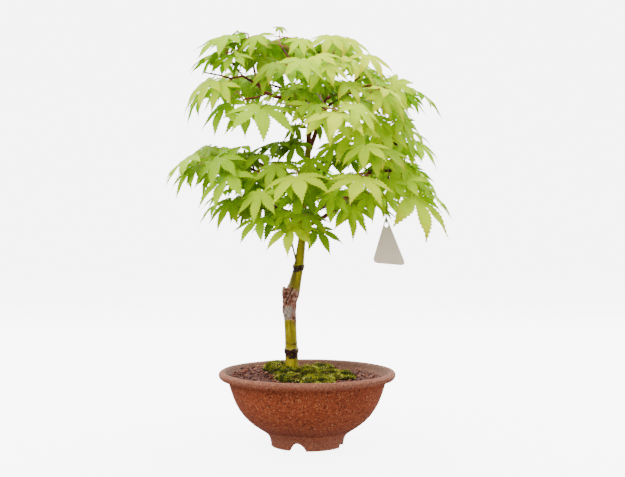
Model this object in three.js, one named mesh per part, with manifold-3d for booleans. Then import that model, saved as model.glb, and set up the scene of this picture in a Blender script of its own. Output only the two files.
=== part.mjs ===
// A young Japanese maple grown as a bonsai, in a round terracotta bowl.
// Millimetres, +Z up. The origin is on the bowl's axis, in the plane that its foot stands on.
// The front of the tree faces -Y, and headings are degrees round +Z, with 0 along +X.
import * as THREE from "three";
import { mergeVertices } from "three/addons/utils/BufferGeometryUtils.js";
import Module from "manifold-3d";

const wasm = await Module();
wasm.setup();

// Bowl
const rimRadius = 100;
const rimTop = 84.2;
const footRadius = 40.8;
const footRingWidth = 6;
const floorUnderside = 10;
const floorTop = 15.5;
const drainRadius = 9;
const bowlSides = 24;
const notchCount = 4;
const notchBottomWidth = 19;
const notchTopWidth = 10.5;
const notchHeight = 9;
const firstNotchHeading = -105;
const notchShoulder = 3;
const notchCrownCut = 1;
const notchReach = 22;
const notchStart = 27.5;
const footCornerCut = 1.5;

// Soil and moss
const soilEdgeHeight = 75.5;
const soilEdgeDrop = 1;
const soilDomeRise = 7.5;
const soilDomeWidth = 52;
const contactGap = 0.3;
const soilWallGap = 0.5;
const soilEdgeRadius = 86.6;

// Tag and its tie
const tagDepth = -50;
const tagThickness = 1;
const tagHoleWidth = 4.3;
const tagHoleHeight = 6;
const tagHoleSides = 12;
const tagCornerReach = 1.6;
const tagCornerSegments = 5;
const tieRadius = 0.5;
const tieSides = 8;
const tieSteps = 9;
const ringSides = 5;
const ringSegments = 8;
const knotSides = 5;
const knotBands = 4;

// Leaves
const leafHalfThickness = 0.8;
const leafBend = 0.6;
const lobeFold = 0.28;
const petioleRadius = 0.6;
const petioleKeel = 1.6;
const petioleFootShare = 0.05;
const leafClearance = 0.7;
const rootClearance = 0.1;

const finishes = {
  stoneware: { colour: "#8f4a30", roughness: 0.85 },
  soil: { colour: "#4a2a28", roughness: 1 },
  moss: { colour: "#7a8c20", roughness: 1 },
  bark: { colour: "#857e18", roughness: 0.8 },
  leaf: { colour: "#9cc21c", roughness: 0.6 },
  card: { colour: "#c8b8a8", roughness: 0.7 },
  cord: { colour: "#2a2020", roughness: 0.9 },
};

function radians(degrees) {
  return (degrees * Math.PI) / 180;
}

// A closed geometry as a solid that can be joined and cut.
function solidFrom(geometry) {
  const bare = geometry.clone();
  bare.deleteAttribute("normal");
  bare.deleteAttribute("uv");
  const merged = mergeVertices(bare, 1e-4);
  return new wasm.Manifold(
    new wasm.Mesh({
      numProp: 3,
      vertProperties: Float32Array.from(merged.attributes.position.array),
      triVerts: Uint32Array.from(merged.index.array),
    }),
  );
}

function geometryFrom(solid) {
  const mesh = solid.getMesh();
  const geometry = new THREE.BufferGeometry();
  geometry.setAttribute("position", new THREE.BufferAttribute(mesh.vertProperties, 3));
  geometry.setIndex(new THREE.BufferAttribute(mesh.triVerts, 1));
  geometry.computeVertexNormals();
  return geometry;
}

function joined(solids) {
  let whole = solids[0];
  for (const solid of solids.slice(1)) {
    whole = whole.add(solid);
  }
  return whole;
}

function meshOf(name, solid, { colour, roughness }) {
  const material = new THREE.MeshStandardMaterial({ color: colour, roughness, metalness: 0 });
  const mesh = new THREE.Mesh(geometryFrom(solid), material);
  mesh.name = name;
  return mesh;
}

// A solid turned about Z from a profile of [radius, height] points.
function turned(profile, sides) {
  const points = profile.map(([radius, height]) => new THREE.Vector2(radius, height));
  const geometry = new THREE.LatheGeometry(points, sides);
  geometry.rotateX(Math.PI / 2);
  return geometry;
}

// A tapered limb through [x, y, z, radius] points, closed at both ends.
function limb(points, sides) {
  const centres = points.map(([x, y, z]) => new THREE.Vector3(x, y, z));
  const curve = new THREE.CatmullRomCurve3(centres, false, "centripetal");
  const steps = points.length - 1;
  const reference = leastAlong(centres.at(-1).clone().sub(centres[0]));
  const geometry = new THREE.CylinderGeometry(1, 1, 1, sides, steps);
  const position = geometry.attributes.position;
  const vertex = new THREE.Vector3();
  for (let i = 0; i < position.count; i += 1) {
    vertex.fromBufferAttribute(position, i);
    const share = Math.round((vertex.y + 0.5) * steps) / steps;
    const radius = radiusAt(points, share);
    const tangent = curve.getTangent(share);
    const across = new THREE.Vector3().crossVectors(tangent, reference).normalize();
    const other = new THREE.Vector3().crossVectors(across, tangent);
    const centre = curve.getPoint(share);
    centre.addScaledVector(across, vertex.x * radius).addScaledVector(other, vertex.z * radius);
    position.setXYZ(i, centre.x, centre.y, centre.z);
  }
  return geometry;
}

// The axis that a direction runs along the least.
function leastAlong(direction) {
  const parts = direction.toArray().map(Math.abs);
  const least = parts.indexOf(Math.min(...parts));
  return new THREE.Vector3().setComponent(least, 1);
}

function radiusAt(points, share) {
  const place = share * (points.length - 1);
  const before = Math.min(Math.floor(place), points.length - 2);
  return THREE.MathUtils.lerp(points[before][3], points[before + 1][3], place - before);
}

// ---------------------------------------------------------------- bowl

// Outside of the bowl from the foot up to the rolled rim, as [radius, height].
const bowlOutside = [
  [footRadius, 0],
  [41.9, 7],
  [45.4, 13.6],
  [54.4, 20.1],
  [66.6, 29],
  [76, 39.5],
  [84, 56],
  [89.2, 72.4],
];
const bowlRim = [
  [97, 75.6],
  [99.6, 78.2],
  [rimRadius, 81.2],
  [98.4, 83.4],
  [95.4, rimTop],
  [92.4, 83.2],
];
// Inside of the bowl from the rim down to the edge of the drain hole.
const bowlInside = [
  [90.3, 79.8],
  [88.6, 77.2],
  [83.5, 70],
  [76.8, 53],
  [68, 37],
  [50, 22.8],
  [drainRadius, floorTop],
];

function bowlSolid() {
  const ringInside = footRadius - footRingWidth;
  const underside = [
    [drainRadius, floorUnderside],
    [ringInside - footCornerCut, floorUnderside],
    [ringInside, floorUnderside - footCornerCut],
    [ringInside, 0],
  ];
  const profile = [...bowlOutside, ...bowlRim, ...bowlInside, ...underside, bowlOutside[0]];
  let bowl = solidFrom(turned(profile, bowlSides));
  for (let i = 0; i < notchCount; i += 1) {
    const notch = notchGeometry();
    notch.rotateZ(radians(firstNotchHeading + (i * 360) / notchCount));
    bowl = bowl.subtract(solidFrom(notch));
  }
  return bowl;
}

// An arch-shaped block along +X that cuts one notch through the foot ring.
function notchGeometry() {
  const arch = new THREE.Shape();
  arch.moveTo(-notchBottomWidth / 2, -1);
  arch.lineTo(notchBottomWidth / 2, -1);
  const halfTop = notchTopWidth / 2;
  const crown = halfTop - notchCrownCut;
  arch.lineTo(halfTop, notchHeight - notchShoulder);
  arch.quadraticCurveTo(crown, notchHeight, 0, notchHeight);
  arch.quadraticCurveTo(-crown, notchHeight, -halfTop, notchHeight - notchShoulder);
  const block = new THREE.ExtrudeGeometry(arch, {
    depth: notchReach,
    bevelEnabled: false,
    curveSegments: 2,
  });
  block.rotateX(Math.PI / 2);
  block.rotateZ(Math.PI / 2);
  block.translate(notchStart, 0, 0);
  return block;
}

// ---------------------------------------------------------------- soil

const soilRings = [74, 54, 36, 18];
const trunkFoot = { x: -17, y: 14 };
// Low crumbs on the soil: two waves, each with its height and its turns along X and Y.
const soilCrumbs = [
  { height: 0.7, alongX: 0.21, alongY: 0.13 },
  { height: 0.6, alongX: 0.11, alongY: -0.27 },
];

// Height of the soil over a point: domed towards the trunk, with crumbs.
function soilHeight(x, y) {
  const fromTrunk = Math.hypot(x - trunkFoot.x, y - trunkFoot.y);
  const dome = soilDomeRise * Math.exp(-((fromTrunk / soilDomeWidth) ** 2));
  const [wide, narrow] = soilCrumbs.map(
    ({ height, alongX, alongY }) => height * Math.sin(x * alongX + y * alongY),
  );
  return soilEdgeHeight + dome + (wide + narrow);
}

function soilGeometry() {
  const floor = [
    [0, floorTop + contactGap],
    [drainRadius, floorTop + contactGap],
  ];
  const wall = bowlInside
    .filter(([radius, height]) => radius > drainRadius && height < soilEdgeHeight)
    .map(([radius, height]) => [radius - soilWallGap, height + contactGap])
    .reverse();
  const side = [...floor, ...wall, [soilEdgeRadius, soilEdgeHeight - soilEdgeDrop]];
  const top = soilRings.map((radius) => [radius, soilEdgeHeight]);
  const geometry = turned([...side, ...top, [0, soilEdgeHeight]], bowlSides);
  const position = geometry.attributes.position;
  for (let i = 0; i < position.count; i += 1) {
    if (position.getZ(i) > soilEdgeHeight - soilEdgeDrop / 2) {
      position.setZ(i, soilHeight(position.getX(i), position.getY(i)));
    }
  }
  return geometry;
}

// ---------------------------------------------------------------- moss

// Cushions as [x, y, radius, height above the soil].
const mossCushions = [
  [-36, 24, 17, 9],
  [-25, -6, 20, 8.5],
  [-1, -9, 21, 9.5],
  [25, -14, 21, 8],
  [42, -10, 15, 7],
  [-17, -34, 21, 7.5],
  [11, -40, 23, 8],
  [5, -60, 18, 6],
  [17, 16, 22, 9.5],
];
const mossSides = 8;
const mossBands = 5;
const mossSunkShare = 0.35;
const mossLump = 0.09;
const mossLumpTurns = 5;

// One lumpy cushion, sunk a little into the soil so that its cut foot is the soil's own surface.
function cushionGeometry([x, y, radius, height]) {
  const geometry = new THREE.SphereGeometry(1, mossSides, mossBands);
  const position = geometry.attributes.position;
  for (let i = 0; i < position.count; i += 1) {
    const [px, py, pz] = [position.getX(i), position.getY(i), position.getZ(i)];
    const lump = 1 + mossLump * Math.sin(px * mossLumpTurns + x) * Math.cos(pz * mossLumpTurns + y);
    const tall = height * (1 + mossSunkShare);
    position.setXYZ(i, x + px * radius * lump, y + pz * radius * lump, py * tall * lump);
  }
  geometry.index.array.reverse();
  geometry.translate(0, 0, soilHeight(x, y) - mossSunkShare * height);
  return geometry;
}

// ---------------------------------------------------------------- trunk and branches

// The trunk's centre line as [x, y, z, radius], from its buried end up to the upper fork.
const trunkLine = [
  [-15, 15, 34, 2.5],
  [-16, 15, 58, 5.6],
  [-17, 14, 84, 7.6],
  [-17.6, 14, 92, 7.2],
  [-18, 13.6, 101, 7.1],
  [-18, 13.5, 105, 8.3],
  [-18.2, 13.4, 109, 6.9],
  [-18.8, 13, 124, 6.6],
  [-19.4, 12.8, 140, 6.7],
  [-20.4, 12.5, 151, 7.6],
  [-20, 12, 162, 8.2],
  [-17, 11.5, 172, 8],
  [-14, 11, 181, 6.6],
  [-10.4, 9.2, 198, 5.4],
  [-9.8, 8.8, 201.5, 6.5],
  [-9, 8.4, 206, 5.2],
  [-6, 6, 232, 4.1],
  [-4.8, 5, 246, 4.6],
  [-4.4, 5, 256, 3.8],
  [-3.6, 4.6, 274, 3.6],
  [-1.2, 4, 300, 3.4],
  [1, 4, 333, 3.2],
];
const trunkSides = 8;
const stubSides = 6;
const trunkHoleSides = 12;
const buriedPoints = 6;
// The pointed stub left by the graft, on the left of the union.
const graftStub = [
  [-21, 11, 158, 6],
  [-24.5, 10, 170, 4.6],
  [-26.5, 9.5, 179, 1.2],
];

// Branches: each path starts inside the wood that bears it, and "ends" are its two radii.
const branches = {
  leaderLeft: { path: [[1, 4, 329], [2, 2, 356], [4, 0, 378], [4, -3, 399]], ends: [2.9, 2.2] },
  leaderRight: { path: [[1, 5, 329], [10, 10, 354], [16, 14, 377], [21, 16, 394]], ends: [2.6, 2] },
  lowRight: {
    path: [[-5, 5, 246], [14, -5, 255], [33, -22, 268], [49, -38, 288], [66, -50, 306]],
    ends: [2.6, 1.8],
  },
  lowRightFar: {
    path: [[66, -50, 306], [76, -51, 309], [90, -50, 309], [106, -42, 305]],
    ends: [1.8, 1.4],
  },
  lowRightFront: { path: [[49, -38, 288], [54, -54, 296], [58, -66, 304]], ends: [1.1, 1.1] },
  lowRightUnder: { path: [[33, -22, 268], [38, -34, 270], [42, -46, 274]], ends: [1.2, 1.1] },
  lowLeft: {
    path: [[-4.6, 5, 250], [-21, -14, 260], [-41, -32, 274], [-54, -44, 281]],
    ends: [2.1, 1.3],
  },
  lowFront: { path: [[-4.4, 5, 256], [-6, -18, 262], [-10, -40, 268]], ends: [1.8, 1.3] },
  lowBackLeft: { path: [[-4.4, 5, 258], [-28, 24, 266], [-52, 44, 276]], ends: [2, 1.3] },
  lowBackRight: { path: [[-4, 5, 262], [24, 30, 270], [48, 50, 280]], ends: [2, 1.3] },
  midFront: { path: [[-1.2, 4, 300], [-4, -20, 307], [-8, -46, 309]], ends: [1.8, 1.2] },
  midLeft: {
    path: [[-2, 4, 290], [-28, -8, 299], [-58, -18, 310], [-84, -26, 318]],
    ends: [2.2, 1.3],
  },
  midLeftBack: {
    path: [[-1.8, 4, 294], [-31, 20, 309], [-60, 34, 321], [-82, 42, 328]],
    ends: [2, 1.3],
  },
  midRightBack: {
    path: [[-2.6, 4.4, 283], [28, 24, 295], [58, 40, 306], [78, 44, 312]],
    ends: [2.1, 1.3],
  },
  midBack: { path: [[-3.6, 4.6, 276], [-6, 30, 290], [-10, 58, 300]], ends: [2, 1.3] },
  midRight: {
    path: [[-1, 4, 304], [20, -12, 315], [29, -18, 322], [35, -22, 328], [47, -30, 330], [55, -38, 328]],
    ends: [1.7, 1.2],
  },
  topLeft: {
    path: [[3, -2, 388], [-14, -8, 389], [-36, -14, 392], [-50, -18, 398], [-56, -20, 410], [-59, -15, 423],
      [-61, -10, 433], [-65, -5, 453]],
    ends: [2.3, 0.9],
  },
  topLeftOut: {
    path: [[-54, -19, 404], [-71, -22, 414], [-84, -26, 411], [-96, -30, 414], [-113, -34, 417]],
    ends: [1.5, 0.8],
  },
  topLeftUp: { path: [[-71, -22, 414], [-79, -18, 424], [-88, -14, 437]], ends: [1.0, 0.9] },
  topLeftLow: { path: [[-82, -25.5, 411], [-88, -30, 405], [-95, -34, 402]], ends: [0.9, 0.9] },
  topLeftInner: { path: [[-44, -16, 395], [-56, -26, 390], [-68, -32, 388]], ends: [1.1, 1] },
  topCentre: {
    path: [[4, -3, 397], [-8, -8, 413], [-17, -10, 428], [-20, -8, 435], [-28, -3, 447]],
    ends: [2, 1.1],
  },
  topFront: { path: [[-8, -8, 413], [-14, -22, 420], [-18, -34, 423]], ends: [1.1, 1] },
  topRidge: { path: [[4, -3, 397], [14, 2, 416], [24, 8, 434], [30, 10, 443]], ends: [1.8, 1.1] },
  topRightFront: { path: [[14, 2, 416], [22, -12, 425], [27, -24, 429]], ends: [1.1, 1] },
  topRight: {
    path: [[16, 14, 376], [26, 4, 385], [40, -12, 392], [50, -24, 396]],
    ends: [1.7, 1.1],
  },
  topMidFront: { path: [[4, -1, 384], [0, -24, 384], [-8, -44, 380]], ends: [1.9, 1.2] },
  topMidFrontRight: { path: [[1, -18, 384], [10, -36, 381], [18, -54, 377]], ends: [1.1, 1] },
  topFarRight: {
    path: [[20, 16, 391], [43, 16, 401], [69, 8, 406], [84, 0, 404]],
    ends: [1.9, 1.2],
  },
  topBack: { path: [[19, 15.5, 388], [13, 42, 398], [9, 64, 404]], ends: [1.8, 1.2] },
  topBackLeft: { path: [[4, -1, 392], [-20, 24, 402], [-46, 42, 411]], ends: [1.8, 1.2] },
  topBackRight: { path: [[21, 16, 393], [42, 36, 401], [64, 50, 404]], ends: [1.7, 1.2] },
  topUp: { path: [[24, 8, 434], [16, 22, 444], [8, 32, 448]], ends: [1, 0.9] },
  topRightLow: { path: [[40, -12, 392], [56, -24, 385], [68, -30, 381]], ends: [0.9, 0.9] },
  topRightUp: { path: [[43, 16, 401], [54, 2, 411], [60, -6, 415]], ends: [1.1, 0.9] },
  midFarRightUp: { path: [[77, -12, 352], [88, -12, 360], [96, -12, 364]], ends: [1, 0.9] },
  midRightLow: { path: [[66, -50, 306], [76, -44, 314], [86, -42, 319]], ends: [1.1, 1] },
  midLeftFront: { path: [[-28, -8, 299], [-38, -20, 307], [-45, -28, 311]], ends: [1.1, 1] },
  midLeftUp: { path: [[-58, -18, 310], [-62, -12, 318], [-66, -9, 323]], ends: [1, 0.9] },
  midFarRight: {
    path: [[15, 13, 373], [46, 0, 366], [77, -12, 352], [100, -18, 338]],
    ends: [1.9, 1.2],
  },
  midFarRightBack: { path: [[46, 0, 366], [66, 18, 362], [84, 34, 352]], ends: [1.1, 1] },
};
const branchSides = 4;

// The bare twig that stands on the trunk's upper node ring.
const trunkTwig = [
  [-10, 9, 201, 1],
  [-13, 7, 210, 0.8],
  [-15, 6, 220, 0.7],
  [-18, 5, 234, 0.5],
];

function branchLimb({ path, ends }) {
  const last = path.length - 1;
  const line = path.map((point, i) => [...point, THREE.MathUtils.lerp(ends[0], ends[1], i / last)]);
  return limb(line, branchSides);
}

function woodSolid() {
  const limbs = [
    limb(trunkLine, trunkSides),
    limb(graftStub, stubSides),
    ...Object.values(branches).map(branchLimb),
    limb(trunkTwig, branchSides),
  ];
  return joined(limbs.map(solidFrom));
}

// The buried length of the trunk, a little fatter: what the soil and the moss leave free.
function trunkHole() {
  const fat = trunkLine
    .slice(0, buriedPoints)
    .map(([x, y, z, radius]) => [x, y, z, radius + 2 * contactGap]);
  fat[0][2] -= 2 * contactGap;
  return solidFrom(limb(fat, trunkHoleSides));
}

// ---------------------------------------------------------------- leaves

// The five main lobes: angle from the middle lobe, share of the leaf's length, and half width.
const mainLobes = [
  { angle: -84, share: 0.7, halfWidth: 0.11 },
  { angle: -41, share: 0.93, halfWidth: 0.145 },
  { angle: 0, share: 1, halfWidth: 0.155 },
  { angle: 41, share: 0.93, halfWidth: 0.145 },
  { angle: 84, share: 0.7, halfWidth: 0.11 },
];
const innerNotch = { angle: 20.5, radius: 0.3 };
const outerNotch = { angle: 62.5, radius: 0.26 };
const backNotch = { angle: 116, radius: 0.15 };
const widestShare = 0.48;
const usualLeafSize = 40;
const notchLift = 0.03;

// The leaf's own axes: forward along the middle lobe, side and up off its upper face.
function leafAxes({ heading, pitch, roll }) {
  const flat = new THREE.Vector3(Math.cos(radians(heading)), Math.sin(radians(heading)), 0);
  const up = new THREE.Vector3(0, 0, 1);
  const level = new THREE.Vector3().crossVectors(up, flat);
  const forward = flat.clone().multiplyScalar(Math.cos(radians(pitch)));
  forward.addScaledVector(up, -Math.sin(radians(pitch)));
  const normal = new THREE.Vector3().crossVectors(forward, level);
  const side = level.clone().multiplyScalar(Math.cos(radians(roll)));
  side.addScaledVector(normal, Math.sin(radians(roll)));
  const face = new THREE.Vector3().crossVectors(forward, side);
  return { forward, side, face };
}

// A leaf with its stalk as one closed body. "grow" fattens it all round, and "bare" is the share
// of the stalk, next to the shoot, that is left out: both serve to keep leaves clear of each other.
function leafGeometry(leaf, grow = 0, bare = 0) {
  const { forward, side, face } = leafAxes(leaf);
  const centre = new THREE.Vector3(...leaf.at);
  const curl = leafBend / leaf.size;
  const vertices = [];
  const triangles = [];

  function vertex(point) {
    vertices.push(point.x, point.y, point.z);
    return vertices.length / 3 - 1;
  }

  // A vertex of the blade at an angle and distance from its centre, on the drooping dome.
  function bladeVertex(angle, distance, lift) {
    const reach = Math.sin(curl * distance) / curl;
    const drop = (1 - Math.cos(curl * distance)) / curl;
    const point = centre.clone();
    point.addScaledVector(forward, reach * Math.cos(angle));
    point.addScaledVector(side, reach * Math.sin(angle));
    point.addScaledVector(face, lift - drop);
    return vertex(point);
  }

  function notch({ angle, radius }, sign) {
    return bladeVertex(sign * radians(angle), radius * leaf.size + grow, notchLift * leaf.size);
  }

  // Two faces over the same outline triangle, one on the upper side and one on the lower side.
  function pair(a, b, c) {
    triangles.push(a.top ?? a, b.top ?? b, c.top ?? c);
    triangles.push(a.under ?? a, c.under ?? c, b.under ?? b);
  }

  const thick = leafHalfThickness + grow;
  const heart = { top: bladeVertex(0, 0, thick), under: bladeVertex(0, 0, -thick) };

  // The stalk: three corners at the blade and three at its root.
  const foot = centre.clone().addScaledVector(forward, -petioleFootShare * leaf.size);
  const root = new THREE.Vector3(...leaf.root);
  const along = root.clone().sub(foot);
  const end = foot.clone().addScaledVector(along, 1 - bare);
  const across = side.clone().projectOnPlane(along.normalize()).normalize();
  const below = new THREE.Vector3().crossVectors(along, across).normalize();
  const half = petioleRadius + grow;
  const [near, far] = [foot, end].map((point) => ({
    left: vertex(point.clone().addScaledVector(across, half)),
    right: vertex(point.clone().addScaledVector(across, -half)),
    below: vertex(point.clone().addScaledVector(below, petioleKeel * half)),
  }));
  triangles.push(near.right, near.left, far.left, near.right, far.left, far.right);
  triangles.push(near.below, near.right, far.right, near.below, far.right, far.below);
  triangles.push(near.left, near.below, far.below, near.left, far.below, far.left);
  triangles.push(far.right, far.left, far.below);

  // The blade, lobe by lobe from the right side of the stalk round to the left.
  const notches = [
    notch(backNotch, -1),
    notch(outerNotch, -1),
    notch(innerNotch, -1),
    notch(innerNotch, 1),
    notch(outerNotch, 1),
    notch(backNotch, 1),
  ];
  pair(heart, near.right, notches[0]);
  mainLobes.forEach(({ angle, share, halfWidth }, i) => {
    const length = share * leaf.size;
    const middleAngle = radians(angle);
    const halfLobe = (halfWidth * (leaf.size + usualLeafSize)) / 2 + grow;
    const widest = widestShare * length;
    const spread = Math.atan2(halfLobe, widest);
    const out = Math.hypot(halfLobe, widest);
    const before = bladeVertex(middleAngle - spread, out, lobeFold * halfLobe);
    const tip = bladeVertex(middleAngle, length + grow, 0);
    const after = bladeVertex(middleAngle + spread, out, lobeFold * halfLobe);
    pair(heart, notches[i], before);
    pair(heart, before, tip);
    pair(heart, tip, after);
    pair(heart, after, notches[i + 1]);
  });
  pair(heart, notches[5], near.left);
  triangles.push(heart.top, near.left, near.right);
  triangles.push(heart.under, near.right, near.below);
  triangles.push(heart.under, near.below, near.left);

  const geometry = new THREE.BufferGeometry();
  geometry.setAttribute("position", new THREE.Float32BufferAttribute(vertices, 3));
  geometry.setIndex(triangles);
  return geometry;
}

// ---------------------------------------------------------------- sprays

// Each spray goes on from the end of a branch. "shoot" holds its further points, and each leaf row
// is [x, y, z of the blade's centre, heading, pitch, roll, length]. "pairs" more opposite pairs
// are grown along the shoot by rule, where there is room.
const sprays = [
  {
    name: "spray_top_left_tip",
    branch: "topLeft",
    shoot: [[-66, -4, 460], [-66, -3, 466]],
    leaves: [
      [-55, -6, 459, -112, 32, 12, 36],
      [-74, 2, 463, 172, 12, 0, 46],
      [-60, 16, 458, 110, 29, 0, 38],
    ],
    pairs: 0,
  },
  {
    name: "spray_top_left_high",
    branch: "topLeftUp",
    shoot: [[-90, -14, 444], [-93, -16, 448]],
    leaves: [
      [-87, -14, 457, -150, 20, -10, 48],
      [-98, -33, 438, -155, 16, 12, 43],
      [-97, 6, 444, 165, 32, 0, 38],
      [-80, -32, 444, -110, 24, 0, 36],
    ],
    pairs: 0,
  },
  {
    name: "spray_top_left_low",
    branch: "topLeftLow",
    shoot: [[-101, -36, 401], [-106, -38, 400]],
    leaves: [
      [-104, -42, 407, -168, 35, -15, 50],
      [-113, -20, 400, 172, 42, 0, 42],
      [-93, -50, 399, -120, 44, 0, 38],
    ],
    pairs: 0,
  },
  {
    name: "spray_top_left_inner",
    branch: "topLeftInner",
    shoot: [[-76, -32, 387], [-82, -30, 386]],
    leaves: [
      [-88, -26, 383, -125, 39, 10, 47],
      [-66, -48, 374, -92, 32, 4, 42],
    ],
    pairs: 0,
  },
  {
    name: "spray_top_centre",
    branch: "topCentre",
    shoot: [[-31, 0, 454], [-31, 1, 460]],
    leaves: [
      [-31, 3, 471, -65, 32, 0, 14],
      [-8, -6, 456, -72, 36, 0, 30],
      [-40, 14, 456, 100, 29, 0, 38],
    ],
    pairs: 1,
  },
  {
    name: "spray_top_front",
    branch: "topFront",
    shoot: [[-19, -42, 424], [-19, -50, 423]],
    leaves: [
      [-17, -62, 419, -90, 18, 12, 40],
      [-36, -52, 421, -124, 44, 0, 42],
    ],
    pairs: 1,
  },
  {
    name: "spray_top_ridge",
    branch: "topRidge",
    shoot: [[33, 10, 449], [34, 9, 453]],
    leaves: [
      [26, -4, 459, -106, 28, -5, 38],
      [44, 4, 458, -48, 30, 0, 42],
      [30, 28, 455, 80, 29, 0, 40],
    ],
    pairs: 1,
  },
  {
    name: "spray_top_right_front",
    branch: "topRightFront",
    shoot: [[28, -32, 430], [28, -40, 428]],
    leaves: [
      [11, -54, 432, -50, 10, 20, 36],
      [22, -66, 421, -76, 28, 0, 34],
      [49, -42, 430, -30, 34, -5, 46],
    ],
    pairs: 1,
  },
  {
    name: "spray_top_right",
    branch: "topRight",
    shoot: [[55, -32, 396], [58, -40, 395]],
    leaves: [
      [56, -58, 386, -45, 37, 0, 44],
      [80, -40, 391, -50, 52, 10, 32],
      [44, -46, 404, -60, 34, 0, 38],
    ],
    pairs: 1,
  },
  {
    name: "spray_top_far_right",
    branch: "topFarRight",
    shoot: [[91, -4, 402], [96, -8, 399]],
    leaves: [
      [94, -14, 405, -4, 14, 48, 37],
      [101, -28, 369, -40, 41, 6, 38],
      [94, 18, 402, 30, 29, 0, 38],
    ],
    pairs: 1,
  },
  {
    name: "spray_top_mid_front",
    branch: "topMidFront",
    shoot: [[-18, -55, 381], [-30, -63, 382]],
    leaves: [
      [-49, -78, 376, -84, 26, 0, 60],
      [-16, -46, 396, -105, 9, 0, 38],
      [2, -70, 379, -75, 44, -15, 40],
    ],
    pairs: 0,
  },
  {
    name: "spray_top_mid_right",
    branch: "topMidFrontRight",
    shoot: [[23, -64, 376], [27, -72, 375]],
    leaves: [
      [33, -92, 368, -97, 12, -8, 58],
      [8, -44, 411, -70, 32, -8, 30],
    ],
    pairs: 1,
  },
  {
    name: "spray_top_back",
    branch: "topBack",
    shoot: [[7, 76, 407], [4, 88, 408]],
    leaves: [],
    pairs: 3,
  },
  {
    name: "spray_top_back_left",
    branch: "topBackLeft",
    shoot: [[-58, 52, 416], [-72, 60, 418]],
    leaves: [],
    pairs: 3,
  },
  {
    name: "spray_top_back_right",
    branch: "topBackRight",
    shoot: [[78, 56, 406], [88, 62, 406]],
    leaves: [],
    pairs: 3,
  },
  {
    name: "spray_top_up",
    branch: "topUp",
    shoot: [[2, 38, 450], [-4, 44, 451]],
    leaves: [],
    pairs: 3,
  },
  {
    name: "spray_top_right_low",
    branch: "topRightLow",
    shoot: [[75, -33, 380], [80, -36, 378]],
    leaves: [
      [72, -54, 376, -65, 42, 0, 42],
      [88, -32, 383, -45, 38, 0, 42],
      [85, -46, 357, -75, 48, 5, 40],
    ],
    pairs: 0,
  },
  {
    name: "spray_top_right_up",
    branch: "topRightUp",
    shoot: [[64, -10, 418], [68, -12, 420]],
    leaves: [
      [66, -34, 427, -55, 30, 0, 40],
      [86, -8, 424, -15, 32, 0, 40],
      [64, 18, 424, 60, 29, 0, 38],
    ],
    pairs: 0,
  },
  {
    name: "spray_mid_far_right_up",
    branch: "midFarRightUp",
    shoot: [[101, -12, 366], [105, -12, 366]],
    leaves: [
      [98, -4, 384, -38, 46, 0, 38],
      [107, -18, 356, -35, 54, 0, 43],
      [108, 12, 360, 25, 44, 0, 42],
    ],
    pairs: 0,
  },
  {
    name: "spray_mid_right_low",
    branch: "midRightLow",
    shoot: [[92, -40, 321], [97, -38, 321]],
    leaves: [
      [101, -48, 316, -55, 48, 0, 44],
      [88, -60, 298, -85, 52, 0, 34],
      [72, -72, 326, -85, 34, 0, 36],
      [125, -2, 308, 2, 40, 0, 45],
    ],
    pairs: 0,
  },
  {
    name: "spray_mid_left_front",
    branch: "midLeftFront",
    shoot: [[-49, -34, 313], [-53, -40, 313]],
    leaves: [
      [-50, -18, 327, -120, 10, 0, 42],
      [-54, -50, 306, -115, 24, 0, 40],
      [-33, -54, 314, -115, 34, 0, 38],
      [-26, -28, 323, -100, 14, 0, 40],
    ],
    pairs: 0,
  },
  {
    name: "spray_mid_left_up",
    branch: "midLeftUp",
    shoot: [[-68, -8, 326], [-71, -7, 327]],
    leaves: [
      [-73, -22, 328, -150, 12, 0, 42],
      [-64, 12, 328, 120, 16, 0, 38],
    ],
    pairs: 0,
  },
  {
    name: "spray_mid_far_right",
    branch: "midFarRight",
    shoot: [[108, -20, 332], [114, -22, 326]],
    leaves: [
      [113, -18, 334, -16, 48, -20, 39],
      [90, -74, 350, -92, 44, 8, 46],
      [105, 4, 350, 25, 40, 0, 38],
    ],
    pairs: 0,
  },
  {
    name: "spray_mid_far_right_back",
    branch: "midFarRightBack",
    shoot: [[92, 42, 347], [98, 48, 343]],
    leaves: [],
    pairs: 3,
  },
  {
    name: "spray_mid_right",
    branch: "midRight",
    shoot: [[58, -46, 330], [60, -54, 332]],
    leaves: [
      [54, -48, 354, -138, 36, -8, 52],
      [62, -80, 339, -98, 26, 3, 41],
      [30, -40, 338, -120, 42, 0, 38],
    ],
    pairs: 1,
  },
  {
    name: "spray_mid_front",
    branch: "midFront",
    shoot: [[-9, -56, 309], [-10, -64, 308]],
    leaves: [
      [-11, -92, 302, -82, 18, 10, 55],
      [4, -54, 321, -80, 44, 10, 30],
      [0, -66, 300, -74, 50, 5, 44],
      [-8, -50, 288, -100, 52, -8, 42],
    ],
    pairs: 0,
  },
  {
    name: "spray_mid_left",
    branch: "midLeft",
    shoot: [[-96, -29, 321], [-106, -29, 321]],
    leaves: [
      [-130, -18, 325, -152, 34, 4, 47],
      [-94, -52, 322, -107, 31, 12, 48],
      [-84, -62, 304, -117, 32, 10, 54],
    ],
    pairs: 1,
  },
  {
    name: "spray_mid_left_back",
    branch: "midLeftBack",
    shoot: [[-92, 46, 330], [-102, 48, 329]],
    leaves: [],
    pairs: 3,
  },
  {
    name: "spray_mid_right_back",
    branch: "midRightBack",
    shoot: [[90, 46, 313], [102, 46, 311]],
    leaves: [],
    pairs: 3,
  },
  {
    name: "spray_mid_back",
    branch: "midBack",
    shoot: [[-11, 72, 303], [-12, 86, 303]],
    leaves: [],
    pairs: 3,
  },
  {
    name: "spray_low_right_front",
    branch: "lowRightFront",
    shoot: [[60, -74, 306], [60, -80, 306]],
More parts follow.
